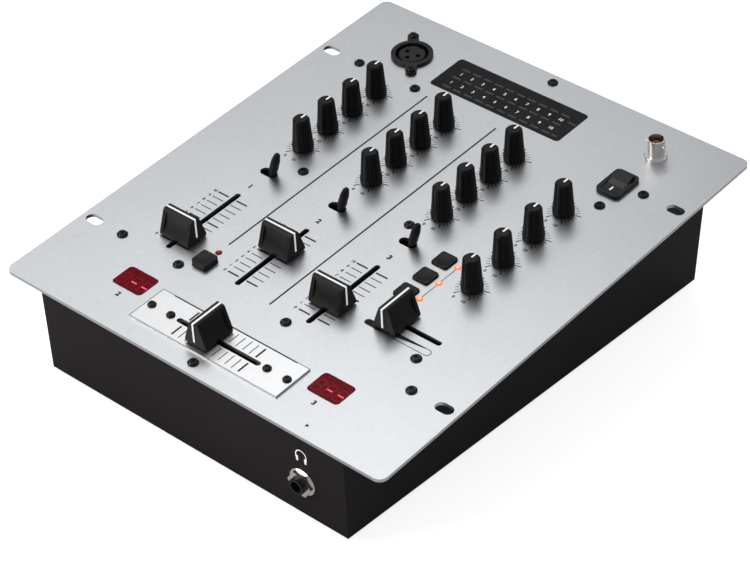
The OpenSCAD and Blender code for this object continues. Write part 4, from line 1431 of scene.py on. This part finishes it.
@dataclass
class Studio:
    """The floor, the lights and the camera."""

    camera_place: Triple = (0.72380, -0.89972, 0.85593)
    camera_target: Triple = (0.015279, -0.027307, 0.050)
    camera_roll: float = 2.0766
    lens: float = 127.63
    sensor: float = 36.0
    floor_size: float = 8.0
    lamps: Sequence[Lamp] = (
        Lamp("key", (-0.95, 0.52, 2.20), 1.4, 13.2),
        Lamp("fill", (-0.5, -0.85, 0.5), 0.5, 3.4, (1.0, 0.90, 0.86)),
        Lamp("rear", (1.6, 1.5, 0.9), 0.9, 1.0),
    )
    world_level: float = 0.32
    floor_tone: Colour = (0.86, 0.86, 0.86)
    floor_glow: float = 0.80

    def build(self) -> None:
        """Sets up the whole studio."""
        self._floor()
        self._world()
        for lamp in self.lamps:
            lamp.hang()
        self._camera()
        bpy.context.scene.view_settings.view_transform = "Standard"

    def _floor(self) -> None:
        """Lays the pale floor."""
        deselect_all()
        bpy.ops.mesh.primitive_plane_add(size=self.floor_size)
        floor = bpy.context.object
        floor.name = "floor"
        material = bpy.data.materials.new("floor_pale")
        material.use_nodes = True
        nodes = Nodes(material.node_tree)
        path = nodes.node("ShaderNodeLightPath")
        seen = Signal(nodes, path.outputs["Is Camera Ray"])
        glow = nodes.node("ShaderNodeEmission", {}, {"Strength": seen * self.floor_glow})
        matt = nodes.node("ShaderNodeBsdfDiffuse", {}, {"Color": self.floor_tone})
        both = nodes.node("ShaderNodeAddShader", {}, {0: matt.outputs[0], 1: glow.outputs[0]})
        nodes.node("ShaderNodeOutputMaterial", {}, {"Surface": both.outputs[0]})
        floor.data.materials.append(material)

    def _world(self) -> None:
        """Makes the surroundings white to the camera and softly lit."""
        world = bpy.data.worlds.new("studio")
        bpy.context.scene.world = world
        world.use_nodes = True
        nodes = Nodes(world.node_tree)
        path = nodes.node("ShaderNodeLightPath")
        seen = Signal(nodes, path.outputs["Is Camera Ray"])
        level = seen * (1.0 - self.world_level) + self.world_level
        sky = nodes.node("ShaderNodeBackground", {}, {"Color": grey(1.0), "Strength": level})
        nodes.node("ShaderNodeOutputWorld", {}, {"Surface": sky.outputs[0]})

    def _camera(self) -> None:
        """Places the camera."""
        camera = bpy.data.cameras.new("camera")
        camera.lens = self.lens
        camera.sensor_width = self.sensor
        camera.clip_start = 0.05
        view = bpy.data.objects.new("camera", camera)
        bpy.context.scene.collection.objects.link(view)
        direction = Vector(self.camera_target) - Vector(self.camera_place)
        aim = direction.to_track_quat("-Z", "Y").to_matrix().to_4x4()
        roll = Matrix.Rotation(math.radians(self.camera_roll), 4, "Z")
        view.matrix_world = Matrix.Translation(self.camera_place) @ aim @ roll
        bpy.context.scene.camera = view


# ---- Building -------------------------------------------------------------------------


def corners(box: tuple[Vector, Vector]) -> list[list[float]]:
    """A box as plain lists."""
    return [list(corner) for corner in box]


def main() -> None:
    """Builds the looks around the frame."""
    logging.basicConfig(level=logging.INFO, format="%(message)s")
    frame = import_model()
    nodes = frame["nodes"]
    plate = Faceplate(frame)
    inks = Inks(
        ink("ink_black", (0.010, 0.010, 0.011), (0.022, 0.022, 0.024)).material(),
        # The white ink has a painted glow, so the white marks give off light of their own.
        ink("ink_white", grey(0.82), grey(0.90), glow=0.45).material(),
        ink("bars_unlit", (0.07, 0.072, 0.076), (0.10, 0.10, 0.105)).material(),
    )
    Wardrobe(plate).dress(nodes)
    knobs = [name for name in nodes if name.startswith("knob_")]
    Dials(plate, inks).build(knobs)
    FaderScales(plate, inks).build()
    PanelLines(plate, inks).build()
    FrontMark(plate, inks).build()
    Meter(plate, inks).build()
    TempoDisplays(plate).build()
    LampRims(plate).build()
    pointers = Pointers(plate, inks)
    for knob in knobs:
        pointers.knob(knob)
    for cap in [name for name in nodes if name.startswith("fader_cap_")]:
        pointers.cap(cap, Lean.ALONG_Y if "_ch" in cap else Lean.ALONG_X)
    pointers.rocker()
    levers = ToggleLevers(plate, nodes["toggle_lever_ch1"].data.materials[0])
    for lever in [name for name in nodes if name.startswith("toggle_lever_")]:
        levers.build(lever)
    Studio().build()


if __name__ == "__main__":
    main()
